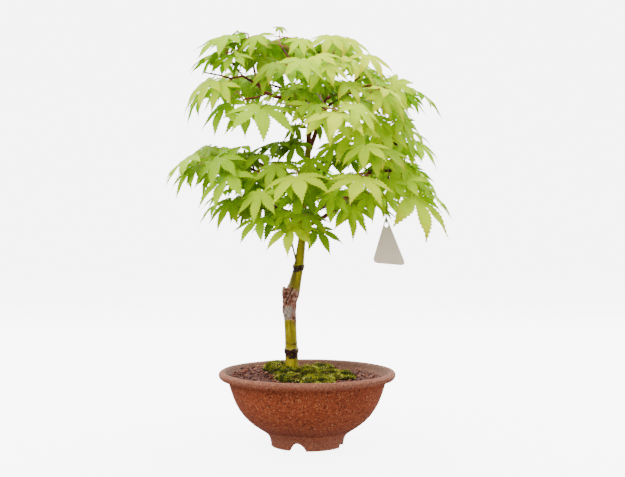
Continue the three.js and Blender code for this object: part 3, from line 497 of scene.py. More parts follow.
def bowlMaterial():
    # unglazed stoneware fired to terracotta: dry and gritty, with iron pits and pale grog specks
    material, tree, shader, place = newMaterial("unglazed_stoneware", 0.86, Specular_IOR_Level=0.3)
    tall = addNode(tree, "ShaderNodeSeparateXYZ", {"Vector": place}).outputs["Z"]
    cloud = addNode(
        tree, "ShaderNodeTexNoise", {"Vector": place}, Scale=24.0, Detail=5.0, Roughness=0.6
    ).outputs["Fac"]
    clay = addRamp(tree, cloud, [(0.32, "#6e2a14"), (0.5, "#8e3d1e"), (0.68, "#a24e2a")])
    grain = addNode(
        tree, "ShaderNodeTexNoise", {"Vector": place}, Scale=480.0, Detail=4.0, Roughness=0.75
    ).outputs["Fac"]
    grit = addRamp(tree, grain, [(0.3, "#42160c"), (0.46, "#803418"), (0.56, "#a24c28"), (0.72, "#dc9058")])
    clay = mixColours(tree, 0.7, clay, grit)
    # pale grog specks 2 mm apart, then iron pits 3 mm apart, both thinned out in drifts
    for scale, spots, driftScale, drifts, hexColour in (
        (460.0, [(0.14, 1.0), (0.3, 0.0)], 210.0, [(0.5, 0.0), (0.6, 1.0)], "#e0a070"),
        (300.0, [(0.16, 1.0), (0.34, 0.0)], 140.0, [(0.45, 0.0), (0.56, 1.0)], "#2c0c06"),
    ):
        cells = addNode(tree, "ShaderNodeTexVoronoi", {"Vector": place}, Scale=scale).outputs["Distance"]
        drift = addNode(tree, "ShaderNodeTexNoise", {"Vector": place}, Scale=driftScale).outputs["Fac"]
        spotShare = calculate(
            tree, "MULTIPLY", addRamp(tree, cells, spots, False), addRamp(tree, drift, drifts, False)
        )
        clay = mixColours(tree, spotShare, clay, hexColour)
    # the top of the roll, the inner wall and the foot came out of the kiln dustier and pinker
    ragged = calculate(tree, "MULTIPLY_ADD", cloud, 0.06, -0.03)
    level = calculate(tree, "ADD", calculate(tree, "MULTIPLY", tall, 10.0), ragged)
    dusty = addRamp(tree, level, [(0.1, 0.62), (0.17, 0.0), (0.77, 0.0), (0.8, 0.9)], False)
    dust = addRamp(tree, grain, [(0.3, "#6a3a2c"), (0.5, "#8c5844"), (0.7, "#ac7a64")])
    clay = mixColours(tree, dusty, clay, dust)
    inner = addNode(tree, "ShaderNodeAttribute", attribute_name="inside").outputs["Fac"]
    innerDust = addRamp(tree, grain, [(0.3, "#4c3428"), (0.5, "#6e5040"), (0.7, "#8c6c5a")])
    clay = mixColours(tree, calculate(tree, "MULTIPLY", inner, 0.85), clay, innerDust)
    # painted shade: the turn above the foot lies under the bowl's belly and is painted darker as its shade,
    # under one pale turned line
    bellyShade = addRamp(tree, level, [(0.16, 0.0), (0.2, 0.5), (0.3, 0.0)], False)
    clay = mixColours(tree, bellyShade, clay, "#5a1a0c")
    line = addRamp(tree, level, [(0.15, 0.0), (0.163, 0.35), (0.176, 0.0)], False)
    clay = mixColours(tree, line, clay, "#b07050")
    rough = addRamp(tree, grain, [(0.3, 0.74), (0.7, 0.95)], False)
    tree.links.new(rough, shader.inputs["Roughness"])
    # the pits, drawn last above, are sunk
    height = calculate(tree, "SUBTRACT", calculate(tree, "MULTIPLY", grain, 0.8), spotShare)
    finishSurface(tree, shader, clay, height, 0.7, 0.5)
    return material


bowl = buildBowl(bowlSettings)
settle(bowl, bowlMaterial(), "terracotta", "bowl", smoothAngle=35)
print("bowl turned,", len(bowl.data.polygons), "faces")


# soil, a domed bed with loose granules on it

soilSettings = {
    # the CAD soil's own top: its level, the dome round the trunk, and its swells as (height, x and y waves)
    "edgeRadius": 86.6,
    "level": 75.5,
    "domeRise": 7.5,
    "domeWidth": 52,
    "swells": [(0.7, 0.21, 0.13), (0.6, 0.11, -0.27)],
    # the bank against the wall, and the crumbs as (height, scale)
    "bankRise": 3.6,
    "bankSpread": 0.028,
    "crumbs": [(0.9, 260), (0.8, 90)],
    "grains": 1500,
    "grainSizes": (0.7, 2.3),
    "clearOfTrunk": 11,
    "clearOfWall": 2.5,
    "seed": 5,
}
trunkFoot = Vector((-17 * mm, 14 * mm, 0))


def soilBank(x, y):
    # the soil is heaped against the wall on the left, from 0 to 1
    distance = math.hypot(x, y)
    return smoothStep(0.3, 0.95, -x / max(distance, mm)) * smoothStep(58 * mm, 86 * mm, distance)


def soilHeight(x, y):
    # the CAD soil's own top with the bank on it, in metres
    settings = soilSettings
    fromTrunk = math.hypot(x - trunkFoot.x, y - trunkFoot.y) / mm
    dome = settings["domeRise"] * math.exp(-((fromTrunk / settings["domeWidth"]) ** 2))
    swell = sum(rise * math.sin(x / mm * east + y / mm * north) for rise, east, north in settings["swells"])
    return (settings["level"] + dome + swell + settings["bankRise"] * soilBank(x, y)) * mm


def scatterOver(template, places, name):
    # one mesh of many copies of a small template, placed by matrices, with a shade for each copy
    count = len(template.vertices)
    corners = np.zeros(count * 3)
    template.vertices.foreach_get("co", corners)
    corners = np.hstack([corners.reshape(-1, 3), np.ones((count, 1))])
    faces = [list(polygon.vertices) for polygon in template.polygons]
    vertices, polygons, shades = [], [], []
    for i, (matrix, shade) in enumerate(places):
        vertices.append((corners @ np.array(matrix).T)[:, :3])
        polygons += [[index + i * count for index in face] for face in faces]
        shades += [shade] * count
    mesh = bpy.data.meshes.new(name)
    mesh.from_pydata(np.vstack(vertices).tolist(), [], polygons)
    setAttributes(mesh, shade=shades)
    return pieceOf(mesh, name)


def buildSoil(settings):
    bed = copyOfNode("soil", "soil_bed")
    applyModifier(bed, "SUBSURF", levels=3, render_levels=3, subdivision_type="SIMPLE")

    def crumble(place, normal):
        if normal.z < 0.5 or place.z < 70 * mm:
            return place
        bank = soilBank(place.x, place.y)
        outward = settings["bankSpread"] * bank
        rise = lumpsAt(place, settings["crumbs"]) + settings["bankRise"] * bank
        return place + Vector((outward * place.x, outward * place.y, rise * mm))

    moveVertices(bed, crumble)
    setAttributes(bed.data, shade=0.25)
    chance = random.Random(settings["seed"])
    deselectAll()
    bpy.ops.mesh.primitive_ico_sphere_add(subdivisions=1, radius=1 * mm)
    grain = bpy.context.object
    places = []
    while len(places) < settings["grains"]:
        distance = (settings["edgeRadius"] - settings["clearOfWall"]) * math.sqrt(chance.random()) * mm
        heading = chance.uniform(0, 2 * math.pi)
        x, y = distance * math.cos(heading), distance * math.sin(heading)
        if math.hypot(x - trunkFoot.x, y - trunkFoot.y) < settings["clearOfTrunk"] * mm:
            continue
        least, most = settings["grainSizes"]
        size = least + (most - least) * chance.random() ** 2.5
        place = Matrix.Translation((x, y, soilHeight(x, y) + size * 0.35 * mm))
        angle = chance.uniform(0, 6)
        turn = Matrix.Rotation(angle, 4, Vector((chance.uniform(-1, 1), chance.uniform(-1, 1), 1)))
        stretch = Matrix.Diagonal((size, size * chance.uniform(0.6, 1), size * chance.uniform(0.5, 0.9), 1))
        places.append((place @ turn @ stretch, chance.random()))
    grains = scatterOver(grain.data, places, "soil_grains")
    bpy.data.objects.remove(grain)
    return bed, grains


def soilMaterial():
    # baked-clay granules and bark humus, damp: dark red-brown grains, each its own shade
    material, tree, shader, place = newMaterial("clay_granules", 0.9, Specular_IOR_Level=0.3)
    shade = addNode(tree, "ShaderNodeAttribute", attribute_name="shade").outputs["Fac"]
    fine = addNode(tree, "ShaderNodeTexNoise", {"Vector": place}, Scale=500.0, Detail=3.0).outputs["Fac"]
    fineShare = calculate(tree, "MULTIPLY", fine, 0.3)
    colour = addRamp(
        tree, calculate(tree, "MULTIPLY_ADD", shade, 0.75, fineShare),
        [(0.1, "#2a1210"), (0.35, "#4c241c"), (0.6, "#7a4434"), (0.8, "#9a624c"), (1.0, "#c09480")],
    )
    finishSurface(tree, shader, colour, fine, 0.6, 0.4)
    return material


soilFinish = soilMaterial()
soilBed, soilGrains = buildSoil(soilSettings)
settle(soilBed, soilFinish, "soil", "soil")
settle(soilGrains, soilFinish, "soil", "soil")
print("soil laid,", soilSettings["grains"], "grains")


# moss, low cushions with fine upright shoots

mossSettings = {
    "voxel": 1.1,
    # the cushions' lumps as (height, scale)
    "lumps": [(2.2, 130), (0.9, 420)],
    "shoots": 9000,
    "shootRadius": 0.42,
    "shootHeight": (1.1, 2.6),
    "shootWidth": (0.7, 1.2),
    "lean": 0.5,
    "seed": 11,
}


def buildMoss(settings):
    cushions = copyOfNode("moss", "moss_cushions")
    applyModifier(cushions, "REMESH", mode="VOXEL", voxel_size=settings["voxel"] * mm)
    applyModifier(cushions, "SMOOTH", factor=0.7, iterations=6)

    def puff(place, normal):
        if normal.z < -0.2:
            return place
        return place + normal * lumpsAt(place, settings["lumps"]) * mm

    moveVertices(cushions, puff)
    mesh = cushions.data
    # painted shade: the cushions under the shoots get a low shade number, near the dark end of the moss
    # colours, for the shade in the gaps
    setAttributes(mesh, shade=0.15)
    chance = random.Random(settings["seed"])
    upper = [p for p in mesh.polygons if p.normal.z > 0.15]
    areas = [p.area for p in upper]
    deselectAll()
    bpy.ops.mesh.primitive_cone_add(
        vertices=3, radius1=settings["shootRadius"] * mm, depth=1 * mm, end_fill_type="NOTHING"
    )
    shoot = bpy.context.object
    shoot.data.transform(Matrix.Translation((0, 0, 0.4 * mm)))
    places = []
    for face in chance.choices(upper, weights=areas, k=settings["shoots"]):
        corners = [mesh.vertices[i].co for i in face.vertices]
        weights = [chance.random() for _ in corners]
        place = sum((c * w for c, w in zip(corners, weights)), Vector()) / sum(weights)
        lean = Vector((chance.uniform(-1, 1), chance.uniform(-1, 1), 0)) * settings["lean"]
        turn = (face.normal + lean).to_track_quat("Z", "Y").to_matrix().to_4x4()
        tall = chance.uniform(*settings["shootHeight"])
        east, north = chance.uniform(*settings["shootWidth"]), chance.uniform(*settings["shootWidth"])
        stretch = Matrix.Diagonal((east, north, tall, 1))
        # painted light and shade: shoots on the lumps are painted lighter, as if catching more sun, and those
        # in the gaps darker
        shade = 0.42 + 0.75 * noise.noise(place * settings["lumps"][0][1]) + chance.uniform(-0.2, 0.3)
        places.append((Matrix.Translation(place) @ turn @ stretch, min(1, max(0, shade))))
    shoots = scatterOver(shoot.data, places, "moss_shoots")
    bpy.data.objects.remove(shoot)
    return cushions, shoots


def mossMaterial():
    # living cushion moss, with painted shade below and painted sunlight on top: dark green gaps, yellow-green
    # tips
    material, tree, shader, place = newMaterial("cushion_moss", 0.85, Specular_IOR_Level=0.25)
    shade = addNode(tree, "ShaderNodeAttribute", attribute_name="shade").outputs["Fac"]
    patch = addNode(tree, "ShaderNodeTexNoise", {"Vector": place}, Scale=75.0, Detail=3.0).outputs["Fac"]
    fine = addNode(tree, "ShaderNodeTexNoise", {"Vector": place}, Scale=600.0, Detail=2.0).outputs["Fac"]
    # painted light and shade: the shade number runs the colours from the dark painted shade of the gaps to
    # the painted light on the tips
    mixed = calculate(tree, "MULTIPLY_ADD", shade, 0.8, calculate(tree, "MULTIPLY", fine, 0.2))
    lush = addRamp(
        tree, mixed,
        [(0.15, "#141802"), (0.35, "#3a4404"), (0.55, "#80840c"), (0.78, "#bcbc30"), (1.0, "#f0eca0")],
    )
    dry = addRamp(tree, mixed, [(0.1, "#1c1206"), (0.5, "#54400c"), (1.0, "#94782c")])
    dryShare = addRamp(tree, patch, [(0.5, 0.0), (0.68, 0.8)], False)
    colour = mixColours(tree, dryShare, lush, dry)
    finishSurface(tree, shader, colour, fine, 0.7, 0.5)
    return material


mossFinish = mossMaterial()
mossCushions, mossShoots = buildMoss(mossSettings)
settle(mossCushions, mossFinish, "moss", "moss")
settle(mossShoots, mossFinish, "moss", "moss")
print("moss grown,", mossSettings["shoots"], "shoots")


# trunk and branches, one piece of wood

woodSettings = {
    "voxel": 0.68,
    # the trunk's middle line, and how far from it the trunk reaches up to each height
    "trunkLine": [
        (-17, 14, 84), (-18, 13.5, 105), (-19.4, 12.8, 140), (-20, 12, 162), (-14, 11, 181),
        (-10, 9, 200), (-6, 6, 232), (-4.4, 5, 256), (-1.2, 4, 300), (1, 4, 333),
    ],
    "trunkReach": [(190, 17.0), (262, 7.5), (338, 5.2)],
    # height of each node on the trunk, how far it swells, and how tall the swelling is
    "nodeRings": [(107, 0.5, 1.2), (114, 0.25, 0.6), (202, 0.45, 1.6), (246, 0.35, 1.6), (222, 0.2, 1.1)],
    # dark scars, from one height to another, with how dark each is
    "scars": [(98.5, 107.5, 0.95), (113.2, 114.8, 0.6), (196.5, 203.5, 0.9), (243, 248, 0.7)],
    # the graft, with the grey callus on its lower left and the split between stub and shoot above it
    "graft": (141, 177),
    "callus": (143, 157),
    "split": (158, 181),
    # the split's lean, half width and depth, and the graft bark's plates, taller than wide
    "splitLean": 0.16,
    "splitWidth": 0.8,
    "splitDepth": 1.6,
    "plates": (0.7, (300, 300, 120)),
    # noises as (height, scale): the ragged edge of every patch, plain bark, scars and the graft's grain
    "ragged": [(3.5, 130), (1.5, 420)],
    "smoothBark": [(0.1, 240)],
    "scarBark": [(0.35, 520)],
    "graftGrain": [(0.4, 700)],
    "smoothingLoss": 0.35,
    # the bare twig on the upper node, as (x, y, z, radius)
    "bareTwig": [(-10, 9, 201, 1.3), (-13, 7, 210, 1.0), (-15.5, 6, 220, 0.9), (-20, 5, 234, 0.7)],
}


def trunkAxis(height):
    line = woodSettings["trunkLine"]
    for (ax, ay, az), (bx, by, bz) in zip(line, line[1:]):
        if height <= bz or bz == line[-1][2]:
            share = min(1.0, max(0.0, (height - az) / (bz - az)))
            return Vector((ax + (bx - ax) * share, ay + (by - ay) * share, height))
    return Vector(line[-1])


def band(ends, edge, value):
    # 1 between the two ends, fading to 0 over an edge at each
    low, high = ends
    return smoothStep(low - edge, low + edge, value) * (1 - smoothStep(high - edge, high + edge, value))


def buildWood(settings):
    wood = copyOfNode("trunk", "trunk_and_branches")
    applyModifier(wood, "REMESH", mode="VOXEL", voxel_size=settings["voxel"] * mm)
    applyModifier(wood, "SMOOTH", factor=0.5, iterations=3)
    paints = {"twig": [], "graft": [], "callus": [], "scarAndSplitShade": []}

    def bark(place, normal):
        height = place.z / mm
        axis = trunkAxis(height)
        east, north = place.x / mm - axis.x, place.y / mm - axis.y
        reach = next((reach for top, reach in settings["trunkReach"] if height < top), None)
        onTrunk = 1 - smoothStep(reach - 1.8, reach, math.hypot(east, north)) if reach else 0.0
        ragged = lumpsAt(place, settings["ragged"])
        swell = settings["smoothingLoss"]
        if onTrunk > 0.3:
            for ringHeight, amount, width in settings["nodeRings"]:
                swell += amount * math.exp(-(((height + 0.25 * ragged - ringHeight) / width) ** 2))
        graft = band(settings["graft"], 1.5, height + ragged * 1.3 + 0.5 * east) * onTrunk
        callus = graft * band(settings["callus"], 3, height + 1.6 * ragged - 0.5 * east)
        callus *= 1 - smoothStep(1, 5, east + ragged)
        fromSplit = east + 3.2 - settings["splitLean"] * (height - 166)
        split = math.exp(-((fromSplit / settings["splitWidth"]) ** 2))
        split *= band(settings["split"], 2, height) * (north < 2)
        if graft > 0:
            plateRise, plateScales = settings["plates"]
            rough = plateRise * noise.noise(place * Vector(plateScales))
            rough += lumpsAt(place, settings["graftGrain"])
            swell += graft * ((1 - 0.7 * callus) * rough - settings["splitDepth"] * split)
        scarAndSplitShade = 0.0
        for bottom, top, dark in settings["scars"]:
            scarAndSplitShade = max(scarAndSplitShade, dark * band((bottom, top), 0.8, height + 0.9 * ragged))
        # painted shade: the split is painted as dark as the scars, for the shade in the crack
        scarAndSplitShade = max(scarAndSplitShade * (1.1 + 0.6 * noise.noise(place * 300)) * onTrunk, split * graft)
        swell += lumpsAt(place, settings["smoothBark"]) + scarAndSplitShade * lumpsAt(place, settings["scarBark"])
        for name, value in (("twig", 1 - onTrunk), ("graft", graft), ("callus", callus), ("scarAndSplitShade", scarAndSplitShade)):
            paints[name].append(min(1.0, max(0.0, value)))
        return place + normal * swell * mm

    moveVertices(wood, bark)
    twig = settings["bareTwig"]
    line = curveThrough([Vector(p[:3]) * mm for p in twig], False, 4)
    steps = np.linspace(0, len(twig) - 1, len(line))
    radii = np.interp(steps, range(len(twig)), [p[3] * mm for p in twig])
    twigTube = tubeAlong("bare_twig", [(line, radii.tolist(), False)])
    for name in paints:
        paints[name] += [0.7 if name == "twig" else 0.0] * len(twigTube.data.vertices)
    wood = joinPieces([wood, twigTube], "trunk_and_branches")
    setAttributes(wood.data, **paints)
    return wood


def barkMaterial():
    # smooth young maple bark: olive green on the trunk, dark wine red on the twigs,
    # purple-black scars round the nodes, and flaking brown bark with grey callus on the graft
    material, tree, shader, place = newMaterial("young_maple_bark", 0.5, Specular_IOR_Level=0.25)
    twig, graft, callus, scarAndSplitShade = (
        addNode(tree, "ShaderNodeAttribute", attribute_name=name).outputs["Fac"]
        for name in ("twig", "graft", "callus", "scarAndSplitShade")
    )
    longPlace = addNode(tree, "ShaderNodeMapping", {"Vector": place}, Scale=(260, 260, 40)).outputs["Vector"]
    streaks = addNode(tree, "ShaderNodeTexNoise", {"Vector": longPlace}, Scale=1.0, Detail=4.0).outputs["Fac"]
    blotch = addNode(tree, "ShaderNodeTexNoise", {"Vector": place}, Scale=85.0, Detail=3.0).outputs["Fac"]
    fine = addNode(tree, "ShaderNodeTexNoise", {"Vector": place}, Scale=650.0, Detail=4.0).outputs["Fac"]
    green = addRamp(tree, streaks, [(0.3, "#645800"), (0.5, "#968800"), (0.7, "#b6a800")])
    brownShare = addRamp(tree, blotch, [(0.54, 0.0), (0.7, 0.45)], False)
    green = mixColours(tree, brownShare, green, "#6a4210")
    # dark breathing pores, 4 mm apart
    pores = addNode(tree, "ShaderNodeTexVoronoi", {"Vector": place}, Scale=260.0).outputs["Distance"]
    poreShare = calculate(
        tree, "MULTIPLY", addRamp(tree, pores, [(0.1, 0.85), (0.2, 0.0)], False),
        addRamp(tree, blotch, [(0.48, 0.0), (0.56, 1.0)], False),
    )
    green = mixColours(tree, poreShare, green, "#3a2410")
    red = addRamp(tree, blotch, [(0.35, "#3a1210"), (0.5, "#6a241a"), (0.68, "#9a482c")])
    colour = mixColours(tree, twig, green, red)
    flakes = addNode(
        tree, "ShaderNodeTexNoise", {"Vector": place}, Scale=240.0, Detail=5.0, Roughness=0.7
    ).outputs["Fac"]
    graftBark = addRamp(
        tree, flakes,
        [(0.34, "#2a1410"), (0.43, "#643828"), (0.51, "#966452"), (0.61, "#bc9484"), (0.73, "#dcc8bc")],
    )
    grey = addRamp(tree, flakes, [(0.34, "#5e4638"), (0.46, "#8c7c6c"), (0.62, "#b8aca0")])
    colour = mixColours(tree, graft, colour, graftBark)
    colour = mixColours(tree, callus, colour, grey)
    # the scar colour marks the real node scars and also paints the split dark, as painted shade in the crack
    scarBark = addRamp(tree, flakes, [(0.36, "#120408"), (0.54, "#2c0c14"), (0.74, "#6a4440")])
    colour = mixColours(tree, scarAndSplitShade, colour, scarBark)
    rough = calculate(tree, "MAXIMUM", calculate(tree, "MULTIPLY", graft, 0.9), 0.48)
    tree.links.new(rough, shader.inputs["Roughness"])
    finishSurface(tree, shader, colour, fine, 0.4, 0.4)
    return material


wood = buildWood(woodSettings)
settle(wood, barkMaterial(), "bark", "trunk")
print("wood grown,", len(wood.data.polygons), "faces")


# leaves: one leaf modelled flat, then bent onto every blade of the frame

leafSettings = {
    # each lobe from right to left: its angle, then its length and half width as shares of the leaf's length
    "lobes": [
        {"angle": -128, "length": 0.3, "halfWidth": 0.045, "rows": 6},
        {"angle": -84, "length": 0.7, "halfWidth": 0.114, "rows": 14},
        {"angle": -41, "length": 0.93, "halfWidth": 0.152, "rows": 18},
        {"angle": 0, "length": 1.0, "halfWidth": 0.162, "rows": 20},
        {"angle": 41, "length": 0.93, "halfWidth": 0.152, "rows": 18},
        {"angle": 84, "length": 0.7, "halfWidth": 0.114, "rows": 14},
        {"angle": 128, "length": 0.3, "halfWidth": 0.045, "rows": 6},
    ],
    # the notches beside the lobes, as (angle, distance from the leaf's middle)
    "notches": [
        (-152, 0.09), (-108, 0.17), (-62.5, 0.26), (-20.5, 0.30),
        (20.5, 0.30), (62.5, 0.26), (108, 0.17), (152, 0.09),
    ],
    "webRows": 3,
    "widest": 0.46,
    "stalkGap": 0.04,
    "fold": 0.28,
    "tooth": 0.018,
    "thickness": 0.0065,
    # how far a blade is bent on its way to the tip, in radians, and its own small swings
    "bend": 0.6,
    "twist": 0.05,
    "wave": 0.012,
    "sway": 0.035,
    "seed": 3,
}


def lobeOutline(lobe, along):
    # half width of a lobe at a share of its length: swelling to the middle, then a long drawn tip
    widest = leafSettings["widest"]
    if along < widest:
        return lobe["halfWidth"] * math.sin(math.pi / 2 * along / widest) ** 0.8
    return lobe["halfWidth"] * math.cos(math.pi / 2 * (along - widest) / (1 - widest)) ** 1.7


def buildLobe(lobe, rightNotch, leftNotch, settings):
    # a grid of four columns, shaped row by row; the leaf lies flat with its middle lobe along +X
    webRows, tooth, length = settings["webRows"], settings["tooth"], lobe["length"]
    rows = webRows + lobe["rows"]
    deselectAll()
    bpy.ops.mesh.primitive_grid_add(x_subdivisions=rows, y_subdivisions=4, size=2)
    piece = bpy.context.object
    heading = math.radians(lobe["angle"])
    ahead = Vector((math.cos(heading), math.sin(heading), 0))
    aside = Vector((-math.sin(heading), math.cos(heading), 0))
    webs = []
    for notchAngle, notchRadius in (rightNotch, leftNotch):
        spread = abs(math.radians(notchAngle - lobe["angle"]))
        webs.append((notchRadius * math.cos(spread), notchRadius * math.sin(spread)))
    across, along = [], []
    for vertex in piece.data.vertices:
        row = round((vertex.co.x + 1) / 2 * rows)
        side = vertex.co.y
        webReach, webWide = webs[side > 0]
        if side == 0:
            webReach = (webs[0][0] + webs[1][0]) / 2
        if row <= webRows:
            share = row / webRows
            reach, wide = webReach * share, webWide * share
        else:
            share = (row - webRows) / lobe["rows"]
            reach = webReach + (length - webReach) * share
            extra = (webWide - lobeOutline(lobe, webReach / length)) * (1 - share) ** 2
            wide = lobeOutline(lobe, reach / length) + extra
            toothed = 0 < share < 0.97 and abs(side) > 0.9
            if toothed and row % 2 == 0:
                wide -= tooth * min(1, 3 * (1 - share))
            elif toothed:
                wide += tooth * 0.7 * min(1, 3 * (1 - share))
                reach += tooth * 0.9
            if share == 1:
                wide = 0.0
        if 0 < abs(side) < 0.9:
            # the inner columns follow the edge half way, a little further on, as the side veins run
            reach += 0.25 * wide
        across.append(side)
        along.append(reach / length)
        place = ahead * reach + aside * (side * wide)
        place.z = settings["fold"] * abs(side) * wide
        vertex.co = place
    setAttributes(piece.data, across=across, along=along)
    return piece


def buildLeaf(settings):
    lobes = []
    for i, lobe in enumerate(settings["lobes"]):
        lobes.append(buildLobe(lobe, settings["notches"][i], settings["notches"][i + 1], settings))
    leaf = joinPieces(lobes, "leaf_flat")
    makeActive(leaf)
    bpy.ops.object.mode_set(mode="EDIT")
    bpy.ops.mesh.select_all(action="SELECT")
    bpy.ops.mesh.remove_doubles(threshold=0.0004)
    bpy.ops.mesh.normals_make_consistent(inside=False)
    bpy.ops.object.mode_set(mode="OBJECT")
    if sum(p.normal.z for p in leaf.data.polygons) < 0:
        leaf.data.flip_normals()
    applyModifier(leaf, "SOLIDIFY", thickness=settings["thickness"], offset=0.0)
    return leaf


def neighbours(vertex):
    return [edge.other_vert(vertex) for edge in vertex.link_edges]


def leavesOfSpray(name, wood):
    # each blade of a CAD spray has one vertex in the middle of its upper face and one under it,
    # both joined to the whole outline, and its far end is the tip of the middle lobe
    copy = copyOfNode(name, "spray_reading")
    form = bmesh.new()
    form.from_mesh(copy.data)
    hearts = [v for v in form.verts if len(v.link_edges) >= 20]
    leaves = []
    used = set()
    for heart in hearts:
        if heart in used:
            continue
        twin = min((h for h in hearts if h is not heart), key=lambda h: (h.co - heart.co).length)
        used.update((heart, twin))
        shared = [v for v in neighbours(heart) if v in neighbours(twin)]
        centre = (heart.co + twin.co) / 2
        tip = max(shared, key=lambda v: (v.co - centre).length)
        leaves.append({"centre": centre, "outline": shared, "tip": tip.co.copy(), "pair": [heart, twin]})
    outlines = set()
    for leaf in leaves:
        outlines.update(leaf["outline"], leaf["pair"])
    # the spray starts where its stalks come nearest to the wood, which is given as rows of places
    loose = [v for v in form.verts if v not in outlines]
    start = leaves[0]["centre"]
    if loose:
        start = min(loose, key=lambda v: np.sum((wood - np.array(v.co)) ** 2, axis=1).min()).co.copy()
    for leaf in leaves:
        finishReading(leaf, outlines)
    form.free()
    bpy.data.objects.remove(copy)
    return leaves, start


def finishReading(leaf, outlines):
    # the leaf's size, axes and the root of its stalk
    heart, twin = leaf["pair"]
    reach = (leaf["tip"] - leaf["centre"]).length
    bend = leafSettings["bend"]
    size = reach * bend / (2 * math.sin(bend / 2))
    up = (heart.co - twin.co).normalized()
    stalkSide = [v for v in leaf["outline"] if (v.co - leaf["centre"]).length < 0.09 * size]
    under = twin
    if len(heart.link_edges) > len(twin.link_edges) or up.z < -0.3:
        up, under = -up, heart
    drop = size * (1 - math.cos(bend)) / bend
    ahead = (leaf["tip"] - leaf["centre"] + up * drop).normalized()
    up = (up - ahead * up.dot(ahead)).normalized()
    leaf.update(size=size, up=up, ahead=ahead, aside=up.cross(ahead))
    ends = []
    for corner in stalkSide + [v for v in neighbours(under) if v not in leaf["outline"]]:
        for other in neighbours(corner):
            if other not in outlines and (other.co - leaf["centre"]).length > 0.2 * size:
                ends.append(other.co.copy())
    leaf["root"] = sum(ends, Vector()) / len(ends) if ends else leaf["centre"] - ahead * size * 0.5
    leaf["foot"] = leaf["centre"] - ahead * leafSettings["stalkGap"] * size


def bentLeaf(flat, leaf, chance, tone, blush):
    # a copy of the flat leaf, bent to the blade's dome with small swings of its own
    mesh = flat.data.copy()
    corners = np.zeros(len(mesh.vertices) * 3)
    mesh.vertices.foreach_get("co", corners)
    corners = corners.reshape(-1, 3) * leaf["size"]
    x, y, z = corners.T
    distance = np.hypot(x, y)
    angle = np.arctan2(y, x)
    curl = leafSettings["bend"] / leaf["size"]
    reach = np.sin(curl * distance) / curl
    drop = (1 - np.cos(curl * distance)) / curl
    swing = chance.uniform(0, 6.28)
    share = distance / leaf["size"]
    twist = leafSettings["twist"] * np.sin(3 * angle + swing) * share**2 * leaf["size"]
    wave = leafSettings["wave"] * np.sin(share * 17 + 4 * angle + swing) * share * leaf["size"]
    ahead, aside, up = (np.array(leaf[k]) for k in ("ahead", "aside", "up"))
    angle = angle + leafSettings["sway"] * np.sin(share * 2.4 + swing * 2 + np.round(angle / 0.7)) * share**2
    placed = (
        np.array(leaf["centre"])
        + np.outer(reach * np.cos(angle), ahead)
        + np.outer(reach * np.sin(angle), aside)
        + np.outer(z - drop + twist + wave, up)
    )
    mesh.vertices.foreach_set("co", placed.ravel())
    setAttributes(mesh, tone=tone, blush=blush)
    return pieceOf(mesh, "leaf")


toneSettings = {
    # how yellow a leaf is, from 0, deep green, to 1, pale yellow: it grows to the right, up and out
    "base": 0.2,
    "right": 0.22,
    "up": 0.1,
    "out": 0.22,
    "spread": 0.24,
    # leaves with a tone of their own, as (place of the blade's middle in mm, tone, blush)
    "special": [
        ((11, -54, 432), 0.92, 0.25), ((22, -66, 421), 0.9, 0.3), ((-8, -6, 456), 0.8, 0.1),
        ((49, -42, 430), 0.95, 0.6), ((26, -4, 459), 0.85, 0.6), ((46, 4, 458), 0.95, 0.8),
        ((-49, -78, 376), 0.6, 0.0), ((-17, -62, 419), 0.55, 0.0), ((33, -92, 368), 0.98, 0.2),
        ((58, -100, 300), 0.9, 0.25), ((54, -48, 354), 0.9, 0.15), ((62, -80, 339), 0.85, 0.2),
        ((117, -62, 286), 0.8, 0.5), ((-84, -62, 304), 0.6, 0.0), ((-11, -92, 302), 0.88, 0.1),
        ((-16, -66, 249), 0.9, 0.1), ((-48, -84, 286), 0.75, 0.0), ((-88, -26, 383), 0.55, 0.05),
        ((-104, -42, 407), 0.8, 0.3), ((4, -54, 321), 0.3, 0.0), ((8, -44, 411), 0.45, 0.0),
        ((-50, -18, 327), 0.25, 0.0), ((-26, -28, 323), 0.25, 0.0), ((80, -40, 391), 0.9, 0.4),
        ((95, -14, 405), 0.8, 0.2), ((-130, -18, 325), 0.7, 0.35),
    ],
    "specialReach": 20,
}


def toneOf(place, chance):
    settings = toneSettings
    for spot, tone, blush in settings["special"]:
        if (place / mm - Vector(spot)).length < settings["specialReach"]:
            return tone, blush
    right = smoothStep(-40, 110, place.x / mm)
    high = smoothStep(300, 450, place.z / mm)
    out = smoothStep(30, 110, math.hypot(place.x, place.y) / mm)
    tone = settings["base"] + settings["right"] * right + settings["up"] * high + settings["out"] * out
    tone += chance.uniform(-1, 1) * settings["spread"]
    blush = max(0.0, chance.uniform(-0.5, 0.45) + 0.25 * right + 0.15 * high)
    return min(1, max(0, tone)), min(1, blush)


infillSettings = {
    # tries for each large leaf, then the ranges of a young leaf's turn away from it in degrees, its size
    # as a share of it, its stalk and rise in mm, its pitch and roll in degrees
    "each": 2,
    "tries": 8,
    "turn": (40, 125),
    "size": (0.5, 0.72),
    "stalk": (12, 24),
    "rise": (-10, 5),
    "pitch": (20, 50),
    "roll": (-20, 20),
    # the least distance between the middles of two blades, in mm
    "apart": 12,
}


def youngLeaf(centre, size, ahead, aside, root):
    return {
        "centre": centre, "size": size, "ahead": ahead, "aside": aside, "up": ahead.cross(aside),
        "root": root, "foot": centre - ahead * leafSettings["stalkGap"] * size, "young": True,
    }


